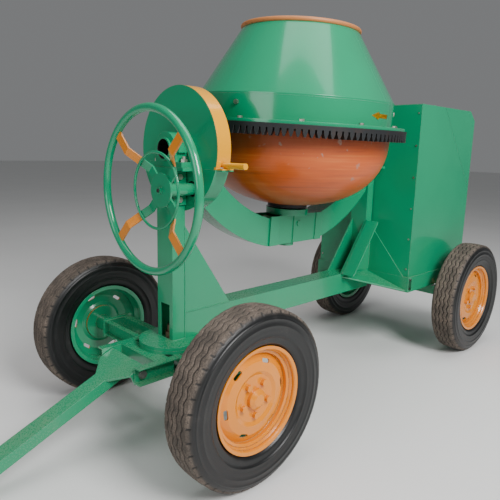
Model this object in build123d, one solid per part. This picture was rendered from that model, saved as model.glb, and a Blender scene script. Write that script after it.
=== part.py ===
from build123d import *
import math
import os

# Towable tilting-drum concrete mixer. Millimetres, +Z up.
# +X points forward along the tow bar, +Y to the machine's left.
# The origin is on the ground, under the middle of the whole machine.

# ---------------------------------------------------------------- driving sizes
TYRE_R = 367.5            # 6.00-16 tyre, outside radius
TYRE_W = 166.0
RIM_FLANGE_R = 219.5      # 16 inch rim, over its flanges
RIM_W = 124.0
WHEELBASE = 2150.0
FRONT_HALF_TRACK = 578.0
REAR_HALF_TRACK = 507.0

SPINE_HALF_W = 59.0
SPINE_BOTTOM = 441.0
SPINE_TOP = 567.0
SPINE_WALL = 5.0

AXLE_Z = TYRE_R
STEER_BACK = 37.0         # the king pin stands this far behind the front axle
TURNTABLE_R = 150.0
TURNTABLE_PLATE = 16.0
TURNTABLE_GAP = 0.5
KING_PIN_R = 18.0

POST_DEPTH = 70.0         # front post, along X
POST_FRONT = -4.0         # its front face, from the front axle
REAR_POST_DEPTH = 63.0
REAR_POST_FRONT = -1542.0

TRUNNION_Z = 1318.0
TRUNNION_R = 51.0
TRUNNION_WALL = 8.0
TRUNNION_CLEAR = 9.0      # round the trunnions, where sheet metal is cut away for them
BEARING_BASE = 27.0       # from the trunnion down to the plummer block's seat

DRUM_BACK = 850.0         # drum axis behind the front axle
DRUM_LEAN = 2.93          # the drum stands leaning this much to the left
DRUM_R = 517.0
DRUM_WALL = 6.0
BOWL_BOTTOM = 1033.0
BOWL_SHOULDER = 1410.0
BOWL_POWER = 2.3          # squareness of the bowl's curve
GEAR_TOP = 1459.0
BAND_TOP = 1585.0
MOUTH_Z = 1955.0
MOUTH_R = 315.0
MOUTH_BEAD_R = 11.0

GEAR_MODULE = 9.6         # drum ring gear and drive pinion
RING_TEETH = 120
PINION_TEETH = 20
RING_OUTER_R = 597.0
RING_TOOTH_INNER_R = 545.0
RING_TOOTH_SLOT = 35.0    # cast tooth gaps, tip to root
RING_WEB = 28.0           # depth of the ring's web where it meets the drum
RING_BACKLASH = 2.6
PRESSURE_ANGLE = 20.0

TILT_MODULE = 6.0         # gear pair between the handwheel and the drum
TILT_GEAR_TEETH = 52
TILT_PINION_TEETH = 15
TILT_GEAR_W = 35.0
HAND_SHAFT_Y = 105.0      # handwheel shaft beside the post
HAND_SHAFT_R = 16.0
HAND_STUD_R = 8.0         # threaded end, through the hub's disc
HAND_RIM_R = 335.5        # to the middle of the rim tube
HAND_TUBE_R = 17.5
HAND_RIM_AHEAD = 149.0    # rim plane in front of the front axle
HAND_HUB_AHEAD = 89.0     # front face of the hub's disc
HAND_RING_R = 159.0
HAND_HUB_R = 73.0
SPOKE_W = 40.0
SPOKE_PHASE = 45.0

GUARD_R = 278.0
GUARD_DEPTH = 74.5
GUARD_SHEET = 3.0
GUARD_SPLIT_Z = 1237.0

CABINET_FRONT = -1605.0
CABINET_LENGTH = 760.0
CABINET_HALF_W = 361.0    # over the base; the sheet walls stand in from it
CABINET_INSET = 10.0
CABINET_BOTTOM = 553.0
CABINET_TOP = 1617.0
CABINET_SHEET = 3.0
HOOD_LAP = 310.0          # fixed roof, from the front to the hood's hinge
HOOD_REAR_Z = 1090.0
HOOD_CHAMFER_X = 75.0
HOOD_CHAMFER_Z = 61.0
BASE_DEPTH = 93.0

RAIL_DEPTH = 75.0         # front axle channels, 75 by 40
RAIL_TOP = 410.0
RAIL_WALL = 5.0
FORK_FRONT = 250.0        # front end of the tow fork, from the front axle
FORK_HALF_W = 175.0
FORK_FLANGE = 40.0
DRAWBAR_PIN_AHEAD = 215.0
DRAWBAR_PIN_Z = 372.0
DRAWBAR_PIN_R = 12.0
DRAWBAR_SLOPE = 23.4
DRAWBAR_W = 86.0
DRAWBAR_H = 48.0
EYE_R = 45.0
EYE_BORE_R = 21.0
EYE_THICK = 22.0
EYE_REST_GAP = 0.5        # the eye hangs down until it lies this close to the ground

RUNNING = 0.05            # radial clearance of every shaft in its bearing
PART_GAP = 0.3            # gap between pieces that slide past each other

# ---------------------------------------------------------------- worked-out places
DRAWBAR_DROP = math.radians(DRAWBAR_SLOPE)
EYE_Z = EYE_R * math.sin(DRAWBAR_DROP) + EYE_THICK / 2 * math.cos(DRAWBAR_DROP) + EYE_REST_GAP
EYE_REACH = (DRAWBAR_PIN_Z - EYE_Z) / math.sin(DRAWBAR_DROP)
EYE_AHEAD = DRAWBAR_PIN_AHEAD + EYE_REACH * math.cos(DRAWBAR_DROP)
EYE_TIP = EYE_AHEAD + EYE_R * math.cos(DRAWBAR_DROP) + EYE_THICK / 2 * math.sin(DRAWBAR_DROP)
FRONT_X = (WHEELBASE + TYRE_R - EYE_TIP) / 2
REAR_X = FRONT_X - WHEELBASE
KING_X = FRONT_X - STEER_BACK
POST_X1 = FRONT_X + POST_FRONT
POST_X0 = POST_X1 - POST_DEPTH
REAR_POST_X1 = FRONT_X + REAR_POST_FRONT
REAR_POST_X0 = REAR_POST_X1 - REAR_POST_DEPTH
DRUM_X = FRONT_X - DRUM_BACK
CAB_X1 = FRONT_X + CABINET_FRONT
CAB_X0 = CAB_X1 - CABINET_LENGTH
WALL_X1 = CAB_X1 - CABINET_INSET
WALL_HALF_W = CABINET_HALF_W - CABINET_INSET
BEARING_SEAT = TRUNNION_Z - TRUNNION_R - BEARING_BASE
RAIL_BOTTOM = RAIL_TOP - RAIL_DEPTH
PIN_X = FRONT_X + DRAWBAR_PIN_AHEAD
GUARD_X1 = POST_X0 - 1.5
GUARD_X0 = GUARD_X1 - GUARD_DEPTH
TILT_CENTRES = TILT_MODULE * (TILT_GEAR_TEETH + TILT_PINION_TEETH) / 2
HAND_SHAFT_Z = TRUNNION_Z - math.sqrt(TILT_CENTRES ** 2 - HAND_SHAFT_Y ** 2)
RIM_X = FRONT_X + HAND_RIM_AHEAD
HUB_X = FRONT_X + HAND_HUB_AHEAD
PINION_PITCH_R = GEAR_MODULE * PINION_TEETH / 2
RING_TIP_Z = TRUNNION_Z + PINION_PITCH_R - GEAR_MODULE
RING_ROOT_Z = RING_TIP_Z + RING_TOOTH_SLOT

WHEELS = {
    "front_left": (FRONT_X, FRONT_HALF_TRACK, 1),
    "front_right": (FRONT_X, -FRONT_HALF_TRACK, -1),
    "rear_left": (REAR_X, REAR_HALF_TRACK, 1),
    "rear_right": (REAR_X, -REAR_HALF_TRACK, -1),
}


# ---------------------------------------------------------------- small helpers
def block(x0, x1, y0, y1, z0, z1):
    """A box between two corners."""
    centre = Pos((x0 + x1) / 2, (y0 + y1) / 2, (z0 + z1) / 2)
    return centre * Box(abs(x1 - x0), abs(y1 - y0), abs(z1 - z0))


def rod_x(radius, x0, x1, y, z):
    """A round bar along X."""
    return Pos((x0 + x1) / 2, y, z) * Rot(0, 90, 0) * Cylinder(radius, abs(x1 - x0))


def rod_y(radius, y0, y1, x, z):
    """A round bar along Y."""
    return Pos(x, (y0 + y1) / 2, z) * Rot(90, 0, 0) * Cylinder(radius, abs(y1 - y0))


def rod_z(radius, z0, z1, x, y):
    """A round bar along Z."""
    return Pos(x, y, (z0 + z1) / 2) * Cylinder(radius, abs(z1 - z0))


def plate_xz(points, y0, y1):
    """A plate with an outline in X and Z, from y0 to y1."""
    face = make_face(Plane.XZ * Polyline(*points, close=True))
    return Pos(0, max(y0, y1), 0) * extrude(face, abs(y1 - y0))


def plate_xy(points, z0, z1):
    """A plate with an outline in X and Y, from z0 to z1."""
    face = make_face(Polyline(*points, close=True))
    return Pos(0, 0, min(z0, z1)) * extrude(face, abs(z1 - z0))


def spun(points, x=0.0, y=0.0):
    """A solid of revolution about the vertical through x, y; points are radius and z."""
    face = make_face(Plane.XZ * Polyline(*points, close=True))
    return Pos(x, y, 0) * revolve(face, Axis.Z)


def hexagon(across_flats, thickness):
    """A hexagonal nut or bolt head, lying on XY."""
    return extrude(RegularPolygon(across_flats / 2, 6, major_radius=False), thickness)


def ring_of(count, radius, phase=0.0):
    """Places on a circle in XY, facing outwards."""
    return [Rot(0, 0, phase + 360 / count * i) * Pos(radius, 0, 0) for i in range(count)]


def leaned(shape):
    """Lean a piece of the tilting assembly to its resting angle."""
    return Pos(0, 0, TRUNNION_Z) * Rot(-DRUM_LEAN, 0, 0) * Pos(0, 0, -TRUNNION_Z) * shape


def involute_outline(module, teeth, backlash):
    """Points round a spur gear: three on each involute flank, with flat tips and roots."""
    pitch_r = module * teeth / 2
    base_r = pitch_r * math.cos(math.radians(PRESSURE_ANGLE))
    tip_r = pitch_r + module
    root_r = pitch_r - 1.25 * module
    start_r = max(base_r, root_r)
    half = math.pi / (2 * teeth) - backlash / (4 * pitch_r)
    half_at_base = half + math.tan(math.radians(PRESSURE_ANGLE)) - math.radians(PRESSURE_ANGLE)
    flank = []
    for step in range(4):
        radius = start_r + (tip_r - start_r) * step / 3
        roll = math.acos(min(1.0, base_r / radius))
        flank.append((radius, half_at_base - (math.tan(roll) - roll)))
    if root_r < start_r:
        flank.insert(0, (root_r, flank[0][1]))
    points = []
    for tooth in range(teeth):
        middle = 2 * math.pi * tooth / teeth
        for radius, angle in flank:
            points.append((radius * math.cos(middle - angle), radius * math.sin(middle - angle)))
        for radius, angle in reversed(flank):
            points.append((radius * math.cos(middle + angle), radius * math.sin(middle + angle)))
    return points


def spur_gear(module, teeth, width, backlash):
    """A spur gear on Z, centred on the origin, with a tooth on +X."""
    face = make_face(Polyline(*involute_outline(module, teeth, backlash), close=True))
    return Pos(0, 0, -width / 2) * extrude(face, width)


def channel_y(x_web, x_lip, y0, y1):
    """An axle channel along Y: its web at x_web, its flanges reaching to x_lip."""
    inward = RAIL_WALL if x_lip > x_web else -RAIL_WALL
    whole = block(x_web, x_lip, y0, y1, RAIL_BOTTOM, RAIL_TOP)
    hollow = block(x_web + inward, x_lip, y0, y1, RAIL_BOTTOM + RAIL_WALL, RAIL_TOP - RAIL_WALL)
    return whole - hollow


# ---------------------------------------------------------------- spine, posts, base
def spine_beam():
    whole = block(REAR_POST_X0, POST_X0, -SPINE_HALF_W, SPINE_HALF_W, SPINE_BOTTOM, SPINE_TOP)
    inner_w = SPINE_HALF_W - SPINE_WALL
    inner = block(REAR_POST_X0, POST_X0, -inner_w, inner_w,
                  SPINE_BOTTOM + SPINE_WALL, SPINE_TOP - SPINE_WALL)
    return whole - inner


POST_CAP = 14.0
POST_CAP_HALF_W = TRUNNION_R + 84.0
DOOR_HALF_W = 34.0
DOOR_TOP = 610.0


def front_post():
    """A box column with a doorway for the king pin's nut and a wide cap for the bearing."""
    top = BEARING_SEAT - POST_CAP
    column = block(POST_X0, POST_X1, -SPINE_HALF_W, SPINE_HALF_W, SPINE_BOTTOM, top)
    inner_w = SPINE_HALF_W - SPINE_WALL
    column -= block(POST_X0 + SPINE_WALL, POST_X1 - SPINE_WALL, -inner_w, inner_w, SPINE_BOTTOM, top)
    column -= block(POST_X1 - SPINE_WALL, POST_X1, -DOOR_HALF_W, DOOR_HALF_W, SPINE_BOTTOM, DOOR_TOP)
    return column + block(POST_X0, POST_X1, -POST_CAP_HALF_W, POST_CAP_HALF_W, top, BEARING_SEAT)


def rear_post():
    top = BEARING_SEAT - POST_CAP
    inner_w = SPINE_HALF_W - SPINE_WALL
    column = block(REAR_POST_X0, REAR_POST_X1, -SPINE_HALF_W, SPINE_HALF_W, SPINE_TOP, top)
    column -= block(REAR_POST_X0 + SPINE_WALL, REAR_POST_X1 - SPINE_WALL,
                    -inner_w, inner_w, SPINE_TOP, top)
    cap = block(REAR_POST_X0, REAR_POST_X1, -POST_CAP_HALF_W, POST_CAP_HALF_W, top, BEARING_SEAT)
    return column + cap


GUSSET = 8.0
FRONT_GUSSET_LEN = 281.0
FRONT_GUSSET_HIGH = 410.0
REAR_GUSSET_LEN = 241.0
REAR_GUSSET_HIGH = 324.0
CROSS_GUSSET_OUT = 260.0
CROSS_GUSSET_HIGH = 310.0
FLOOR_GUSSET_LEN = 281.0
FLOOR_GUSSET_OUT = 340.0
FLOOR_GUSSET_TOP = 547.0    # along the spine
FLOOR_GUSSET_LOW = 468.0    # at its outer corner


def upright_gussets():
    """Triangular plates in the corners between the spine and the two posts."""
    plates = []
    for side in (1, -1):
        outer = side * SPINE_HALF_W
        inner = side * (SPINE_HALF_W - GUSSET)
        front = [(POST_X0, SPINE_TOP), (POST_X0, SPINE_TOP + FRONT_GUSSET_HIGH),
                 (POST_X0 - FRONT_GUSSET_LEN, SPINE_TOP)]
        rear = [(REAR_POST_X1, SPINE_TOP), (REAR_POST_X1, SPINE_TOP + REAR_GUSSET_HIGH),
                (REAR_POST_X1 + REAR_GUSSET_LEN, SPINE_TOP)]
        plates.append(plate_xz(front, inner, outer))
        plates.append(plate_xz(rear, inner, outer))
    return plates


def brace_cover():
    """Sloping plate that closes the wedge between the two rear gussets."""
    slant = math.hypot(REAR_GUSSET_LEN, REAR_GUSSET_HIGH)
    drop = GUSSET * slant / REAR_GUSSET_LEN
    back = GUSSET * slant / REAR_GUSSET_HIGH
    top = SPINE_TOP + REAR_GUSSET_HIGH
    toe = REAR_POST_X1 + REAR_GUSSET_LEN
    outline = [(REAR_POST_X1, top), (toe, SPINE_TOP), (toe - back, SPINE_TOP), (REAR_POST_X1, top - drop)]
    return plate_xz(outline, GUSSET - SPINE_HALF_W, SPINE_HALF_W - GUSSET)


def cross_gussets():
    """Upright plates across the machine, standing on the base behind the rear post."""
    plates = []
    for side in (1, -1):
        inner = SPINE_HALF_W - GUSSET
        points = [(inner, CABINET_BOTTOM), (inner, CABINET_BOTTOM + CROSS_GUSSET_HIGH),
                  (SPINE_HALF_W + CROSS_GUSSET_OUT, CABINET_BOTTOM)]
        face = make_face(Plane.YZ * Polyline(*[(side * y, z) for y, z in points], close=True))
        plates.append(Pos(CAB_X1 - GUSSET, 0, 0) * extrude(face, GUSSET, dir=(1, 0, 0)))
    return plates


def floor_gussets():
    """Triangular plates from the spine's sides, sloping down to the base's front member."""
    plates = []
    for side in (1, -1):
        inner = side * SPINE_HALF_W
        corners = [(CAB_X1, inner, FLOOR_GUSSET_TOP), (CAB_X1 + FLOOR_GUSSET_LEN, inner, FLOOR_GUSSET_TOP),
                   (CAB_X1, side * FLOOR_GUSSET_OUT, FLOOR_GUSSET_LOW)]
        plates.append(extrude(make_face(Polyline(*corners, close=True)), GUSSET, dir=(0, 0, -1)))
    return plates


def frame_gussets():
    return Compound(children=upright_gussets() + [brace_cover()] + cross_gussets() + floor_gussets())


BASE_WALL = 6.0
BASE_FLANGE = 45.0
FLOOR_SHEET = 4.0


def engine_base():
    """Channel frame under the cabinet: two cross members, two side rails and the floor plate."""
    low = CABINET_BOTTOM - BASE_DEPTH - FLOOR_SHEET
    high = CABINET_BOTTOM - FLOOR_SHEET
    pieces = []
    for x_out, inward in ((CAB_X1, -1), (CAB_X0, 1)):
        whole = block(x_out, x_out + inward * BASE_FLANGE, -CABINET_HALF_W, CABINET_HALF_W, low, high)
        hollow = block(x_out + inward * BASE_WALL, x_out + inward * BASE_FLANGE,
                       -CABINET_HALF_W, CABINET_HALF_W, low + BASE_WALL, high - BASE_WALL)
        pieces.append(whole - hollow)
    for side in (1, -1):
        y_out = side * CABINET_HALF_W
        y_in = side * (CABINET_HALF_W - BASE_FLANGE)
        whole = block(CAB_X0 + BASE_FLANGE, CAB_X1 - BASE_FLANGE, y_in, y_out, low, high)
        hollow = block(CAB_X0 + BASE_FLANGE, CAB_X1 - BASE_FLANGE, y_in, y_out - side * BASE_WALL,
                       low + BASE_WALL, high - BASE_WALL)
        pieces.append(whole - hollow)
    pieces.append(block(CAB_X0, CAB_X1, -CABINET_HALF_W, CABINET_HALF_W, high, CABINET_BOTTOM))
    return Compound(children=pieces)


# ---------------------------------------------------------------- cabinet and hood
def side_outline():
    """Cabinet side below the hood's parting line."""
    return [(WALL_X1, CABINET_BOTTOM), (WALL_X1, CABINET_TOP), (CAB_X1 - HOOD_LAP, CABINET_TOP),
            (CAB_X0, HOOD_REAR_Z), (CAB_X0, CABINET_BOTTOM)]


def cabinet_sides():
    plates = []
    for side in (1, -1):
        outer = side * WALL_HALF_W
        plates.append(plate_xz(side_outline(), outer - side * CABINET_SHEET, outer))
    return Compound(children=plates)


SHAFT_HOLE_R = TRUNNION_R + TRUNNION_CLEAR
CABINET_INNER_W = WALL_HALF_W - CABINET_SHEET


def cabinet_front():
    """Front wall with the opening for the drive shaft."""
    wall = block(WALL_X1 - CABINET_SHEET, WALL_X1, -CABINET_INNER_W, CABINET_INNER_W,
                 CABINET_BOTTOM, CABINET_TOP - CABINET_SHEET)
    return wall - rod_x(SHAFT_HOLE_R, WALL_X1 - 2 * CABINET_SHEET, WALL_X1 + CABINET_SHEET, 0, TRUNNION_Z)


LOUVRE_COUNT = 6
LOUVRE_PITCH = 45.0
LOUVRE_HALF_W = 170.0
LOUVRE_HIGH = 12.0
LOUVRE_RISE = 200.0       # lowest slot above the floor


def cabinet_rear():
    """Rear wall with a row of cooling slots."""
    wall = block(CAB_X0, CAB_X0 + CABINET_SHEET, -CABINET_INNER_W, CABINET_INNER_W,
                 CABINET_BOTTOM, HOOD_REAR_Z - 2)
    for row in range(LOUVRE_COUNT):
        z = CABINET_BOTTOM + LOUVRE_RISE + LOUVRE_PITCH * row
        wall -= block(CAB_X0 - 1, CAB_X0 + CABINET_SHEET + 1,
                      -LOUVRE_HALF_W, LOUVRE_HALF_W, z, z + LOUVRE_HIGH)
    return wall


def cabinet_roof():
    return block(CAB_X1 - HOOD_LAP, WALL_X1, -CABINET_INNER_W, CABINET_INNER_W,
                 CABINET_TOP - CABINET_SHEET, CABINET_TOP)


HOOD_GAP = 2.5
HINGE_PIN_R = 4.0
HINGE_BARREL_R = 8.0
HINGE_X = CAB_X1 - HOOD_LAP - HOOD_GAP / 2
HINGE_Z = CABINET_TOP + HINGE_BARREL_R
HINGE_YS = (-220.0, 220.0)
KNUCKLE = 40.0
LEAF = 3.0
LEAF_LEN = 36.0


def hood_outline(inset):
    """Profile of the hood in X and Z, inset by the sheet."""
    x1 = CAB_X1 - HOOD_LAP - HOOD_GAP
    return [(x1, CABINET_TOP - inset), (CAB_X0 + HOOD_CHAMFER_X, CABINET_TOP - inset),
            (CAB_X0 + inset, CABINET_TOP - HOOD_CHAMFER_Z - inset / 2),
            (CAB_X0 + inset, HOOD_REAR_Z + HOOD_GAP)]


def hood_cover():
    """A folded sheet over the rear top of the cabinet, with its own half of the hinges."""
    outer = plate_xz(hood_outline(0), -WALL_HALF_W, WALL_HALF_W)
    points = hood_outline(CABINET_SHEET)
    slack = 60.0
    cut = points + [(points[3][0] + slack, points[3][1] - slack), (points[0][0] + slack, points[0][1] - slack)]
    shell = outer - plate_xz(cut, -CABINET_INNER_W, CABINET_INNER_W)
    leaves = []
    for y in HINGE_YS:
        for side in (1, -1):
            middle = y + side * (KNUCKLE + PART_GAP)
            y0 = middle - KNUCKLE / 2
            y1 = middle + KNUCKLE / 2
            barrel = rod_y(HINGE_BARREL_R, y0, y1, HINGE_X, HINGE_Z)
            leaf = block(HINGE_X - LEAF_LEN, HINGE_X - HOOD_GAP, y0, y1, CABINET_TOP, CABINET_TOP + LEAF)
            lug = barrel + leaf
            leaves.append(lug - rod_y(HINGE_PIN_R + RUNNING, y0 - 1, y1 + 1, HINGE_X, HINGE_Z))
    return shell + leaves


def hood_hinges():
    """The cabinet's half of the hinges: a leaf, one knuckle and the pin, twice."""
    hinges = []
    for y in HINGE_YS:
        y0 = y - KNUCKLE / 2
        y1 = y + KNUCKLE / 2
        barrel = rod_y(HINGE_BARREL_R, y0, y1, HINGE_X, HINGE_Z)
        leaf = block(HINGE_X + HOOD_GAP, HINGE_X + LEAF_LEN, y0, y1, CABINET_TOP, CABINET_TOP + LEAF)
        pin = rod_y(HINGE_PIN_R, y - 1.5 * KNUCKLE - 2, y + 1.5 * KNUCKLE + 2, HINGE_X, HINGE_Z)
        hinges.append(barrel + leaf + pin)
    return Compound(children=hinges)


HANDLE_BAR_R = 6.0
HANDLE_HALF = 70.0
HANDLE_OUT = 38.0
HANDLE_RISE = 90.0        # above the hood's lower edge


def hood_handle():
    """A bent bar on the hood's rear face."""
    z = HOOD_REAR_Z + HANDLE_RISE
    x_out = CAB_X0 - HANDLE_OUT
    grip = rod_y(HANDLE_BAR_R, -HANDLE_HALF, HANDLE_HALF, x_out, z)
    legs = [rod_x(HANDLE_BAR_R, x_out - HANDLE_BAR_R, CAB_X0, y, z)
            for y in (-HANDLE_HALF, HANDLE_HALF)]
    return grip + legs


# ---------------------------------------------------------------- engine and belt drive
CRANK_Z = 860.0
CRANK_R = 20.0
PULLEY_X = CAB_X1 - 105.0     # belt plane
PULLEY_W = 46.0
BIG_PULLEY_R = 170.0
SMALL_PULLEY_R = 72.0
BELT_T = 9.0
SHAFT_R = 25.0
ENGINE_X1 = PULLEY_X - 60.0
ENGINE_X0 = ENGINE_X1 - 300.0
ENGINE_HALF_W = 150.0
ENGINE_LOW = 610.0
ENGINE_TOP = 1000.0
ENGINE_MIDDLE = (ENGINE_X0 + ENGINE_X1) / 2


def engine_block():
    """Crankcase on four feet, with the crankshaft's bore."""
    body = block(ENGINE_X0, ENGINE_X1, -ENGINE_HALF_W, ENGINE_HALF_W, ENGINE_LOW, ENGINE_TOP)
    body = fillet(body.edges().filter_by(Axis.X), 25)
    feet = [block(x - 30, x + 30, -ENGINE_HALF_W - 40, ENGINE_HALF_W + 40, CABINET_BOTTOM, ENGINE_LOW + 2)
            for x in (ENGINE_X0 + 50, ENGINE_X1 - 50)]
    return body + feet - rod_x(CRANK_R + RUNNING, ENGINE_X0 - 10, ENGINE_X1 + 10, 0, CRANK_Z)


FIN_COUNT = 9
FIN_PITCH = 20.0
BARREL_R = 68.0


def cylinder_head():
    """Air-cooled barrel and head with cooling fins."""
    top = ENGINE_TOP + FIN_PITCH * FIN_COUNT
    barrel = rod_z(BARREL_R, ENGINE_TOP, top, ENGINE_MIDDLE, 0)
    fins = [Pos(ENGINE_MIDDLE, 0, ENGINE_TOP + 12 + FIN_PITCH * i) * Box(190, 190, 5) for i in range(FIN_COUNT)]
    cover = Pos(ENGINE_MIDDLE, 0, top + 25) * Box(140, 140, 50)
    return barrel + fins + cover


TANK_Y = (160.0, 335.0)
TANK_Z = (1060.0, 1240.0)


def fuel_tank():
    """Rounded tank with a filler neck, on a bracket from the crankcase."""
    tank = block(ENGINE_X0 + 10, ENGINE_X1 - 10, *TANK_Y, *TANK_Z)
    tank = fillet(tank.edges(), 22)
    neck = rod_z(24, TANK_Z[1] - 5, TANK_Z[1] + 22, ENGINE_MIDDLE, sum(TANK_Y) / 2)
    bracket = block(ENGINE_X0 + 120, ENGINE_X1 - 120, ENGINE_HALF_W, 200, 960, TANK_Z[0] + 2)
    return tank + neck + bracket


SILENCER_R = 48.0
SILENCER_Y = -250.0
SILENCER_Z = 1130.0


def exhaust_silencer():
    """Round can beside the head, with a stub to the port and a tail pipe."""
    can = rod_x(SILENCER_R, ENGINE_X0, ENGINE_X1, SILENCER_Y, SILENCER_Z)
    stub = rod_y(17, SILENCER_Y + 35, -95, ENGINE_MIDDLE, SILENCER_Z)
    tail = rod_x(15, ENGINE_X0 - 60, ENGINE_X0 + 10, SILENCER_Y, SILENCER_Z)
    return can + stub + tail


def grooved_pulley(radius, bore_r):
    """A two-groove V pulley on X, centred on the origin."""
    half = PULLEY_W / 2
    outline = [(bore_r, -half), (radius, -half), (radius, -half + 4), (radius - 12, -half + 9),
               (radius - 12, -half + 15), (radius, -half + 20), (radius, half - 20),
               (radius - 12, half - 15), (radius - 12, half - 9), (radius, half - 4), (radius, half),
               (bore_r, half)]
    return Rot(0, 90, 0) * spun(outline)


def drive_pulley():
    wheel = grooved_pulley(BIG_PULLEY_R, SHAFT_R)
    for place in ring_of(6, 100):
        wheel -= Rot(0, 90, 0) * place * Cylinder(32, PULLEY_W + 2)
    return Pos(PULLEY_X, 0, TRUNNION_Z) * wheel


def v_belts():
    """Two closed belt loops round the big and the small pulley."""
    loops = []
    inner_big = BIG_PULLEY_R + PART_GAP
    inner_small = SMALL_PULLEY_R + PART_GAP
    for offset in (-11.0, 11.0):
        plane = Plane(origin=(PULLEY_X + offset, 0, 0), x_dir=(0, 1, 0), z_dir=(1, 0, 0))
        hulls = []
        for grow in (BELT_T, 0.0):
            rings = Pos(0, TRUNNION_Z) * Circle(inner_big + grow)
            rings += Pos(0, CRANK_Z) * Circle(inner_small + grow)
            hulls.append(make_hull(rings.edges()))
        section = hulls[0] - hulls[1]
        loops.append(extrude(plane * section, 7, both=True))
    return Compound(children=loops)


FLYWHEEL_R = 190.0
FLYWHEEL_W = 50.0


def engine_flywheel():
    """Crankshaft with its flywheel behind the engine and its small pulley in front."""
    pulley = Pos(PULLEY_X, 0, CRANK_Z) * grooved_pulley(SMALL_PULLEY_R, CRANK_R)
    shaft = rod_x(CRANK_R, ENGINE_X0 - 20 - FLYWHEEL_W, PULLEY_X + PULLEY_W / 2 + 6, 0, CRANK_Z)
    disc = rod_x(FLYWHEEL_R, ENGINE_X0 - 14 - FLYWHEEL_W, ENGINE_X0 - 14, 0, CRANK_Z)
    dish = rod_x(FLYWHEEL_R - 30, ENGINE_X0 - 14 - FLYWHEEL_W, ENGINE_X0 - 44, 0, CRANK_Z)
    return pulley + shaft + (disc - dish)


# ---------------------------------------------------------------- bearings and bolts
BLOCK_WALL = 24.0
BLOCK_HALF_FOOT = TRUNNION_R + BLOCK_WALL + 45.0
BLOCK_FOOT_H = 24.0


def plummer_block(x0, x1):
    """A split pillow block: foot, housing and cap bored to run on the trunnion."""
    outer_r = TRUNNION_R + BLOCK_WALL
    foot = block(x0, x1, -BLOCK_HALF_FOOT, BLOCK_HALF_FOOT, BEARING_SEAT, BEARING_SEAT + BLOCK_FOOT_H)
    housing = rod_x(outer_r, x0, x1, 0, TRUNNION_Z)
    housing += block(x0, x1, -outer_r, outer_r, BEARING_SEAT, TRUNNION_Z)
    ears = block(x0 + 8, x1 - 8, -outer_r - 16, outer_r + 16, TRUNNION_Z - 14, TRUNNION_Z + 14)
    return foot + housing + ears - rod_x(TRUNNION_R + RUNNING, x0 - 1, x1 + 1, 0, TRUNNION_Z)


def plummer_blocks():
    front = plummer_block(POST_X0 + 5, POST_X1 - 5)
    rear = plummer_block(REAR_POST_X0 + 5, REAR_POST_X1 - 5)
    return Compound(children=[front, rear])


BOLT_R = 9.0
BOLT_FLATS = 28.0
BRACKET_BOLT_ZS = (HAND_SHAFT_Z - 48.0, HAND_SHAFT_Z + 52.0)


def hand_bearing_bolt_places():
    x = (POST_X0 + POST_X1) / 2 + 6
    return [(x, z) for z in BRACKET_BOLT_ZS]


def frame_bolts():
    """Heads of the bolts that hold the plummer blocks and the handwheel bearing."""
    bolts = []
    for x in ((POST_X0 + POST_X1) / 2, (REAR_POST_X0 + REAR_POST_X1) / 2):
        for y in (-BLOCK_HALF_FOOT + 22, BLOCK_HALF_FOOT - 22):
            head = Pos(x, y, BEARING_SEAT + BLOCK_FOOT_H) * hexagon(BOLT_FLATS, 12)
            bolts.append(head + Pos(x, y, BEARING_SEAT + BLOCK_FOOT_H + 16) * Cylinder(BOLT_R, 16))
    for x, z in hand_bearing_bolt_places():
        head = Pos(x, SPINE_HALF_W + BRACKET_FLANGE, z) * Rot(-90, 0, 0) * hexagon(BOLT_FLATS - 4, 11)
        bolts.append(head)
    return Compound(children=bolts)


HAND_BEARING_R = 27.5
HAND_BEARING_BACK = 24.0    # the tube ends this far behind the disc's face
BRACKET_FLANGE = 12.0


def handwheel_bearing():
    """A bearing tube for the handwheel shaft, on a bracket bolted to the post's side."""
    tube = rod_x(HAND_BEARING_R, GUARD_X1 + 2, HUB_X - HAND_BEARING_BACK, HAND_SHAFT_Y, HAND_SHAFT_Z)
    low = min(BRACKET_BOLT_ZS) - 24
    high = max(BRACKET_BOLT_ZS) + 24
    flange = block(POST_X0 + 2, POST_X1 - 2, SPINE_HALF_W, SPINE_HALF_W + BRACKET_FLANGE, low, high)
    web = block(POST_X0 + 10, POST_X1 - 10, SPINE_HALF_W + BRACKET_FLANGE, HAND_SHAFT_Y,
                HAND_SHAFT_Z - 14, HAND_SHAFT_Z + 14)
    body = tube + flange + web
    return body - rod_x(HAND_SHAFT_R + RUNNING, GUARD_X1, HUB_X, HAND_SHAFT_Y, HAND_SHAFT_Z)


# ---------------------------------------------------------------- gear guard
GUARD_LUG_W = 36.0        # each lug's reach beyond the round cover
GUARD_LUG_T = 6.0
GUARD_HOLE_R = TRUNNION_R + TRUNNION_CLEAR


def guard_shell():
    """The whole round gear cover, a flat drum with open slots for trunnion and shaft."""
    outside = rod_x(GUARD_R, GUARD_X0, GUARD_X1, 0, TRUNNION_Z)
    inside = rod_x(GUARD_R - GUARD_SHEET, GUARD_X0 + GUARD_SHEET, GUARD_X1 - GUARD_SHEET, 0, TRUNNION_Z)
    shell = outside - inside
    shell -= rod_x(GUARD_HOLE_R, GUARD_X0 - 1, GUARD_X1 + 1, 0, TRUNNION_Z)
    shell -= block(GUARD_X0 - 1, GUARD_X1 + 1, -GUARD_HOLE_R, GUARD_HOLE_R, GUARD_SPLIT_Z - 1, TRUNNION_Z)
    return shell - rod_x(HAND_BEARING_R + 8, GUARD_X1 - 2 * GUARD_SHEET, GUARD_X1 + 1,
                         HAND_SHAFT_Y, HAND_SHAFT_Z)


def split_half_width():
    """Half width of the round guard at its parting line."""
    drop = TRUNNION_Z - GUARD_SPLIT_Z
    return math.sqrt(GUARD_R ** 2 - drop ** 2)


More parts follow.
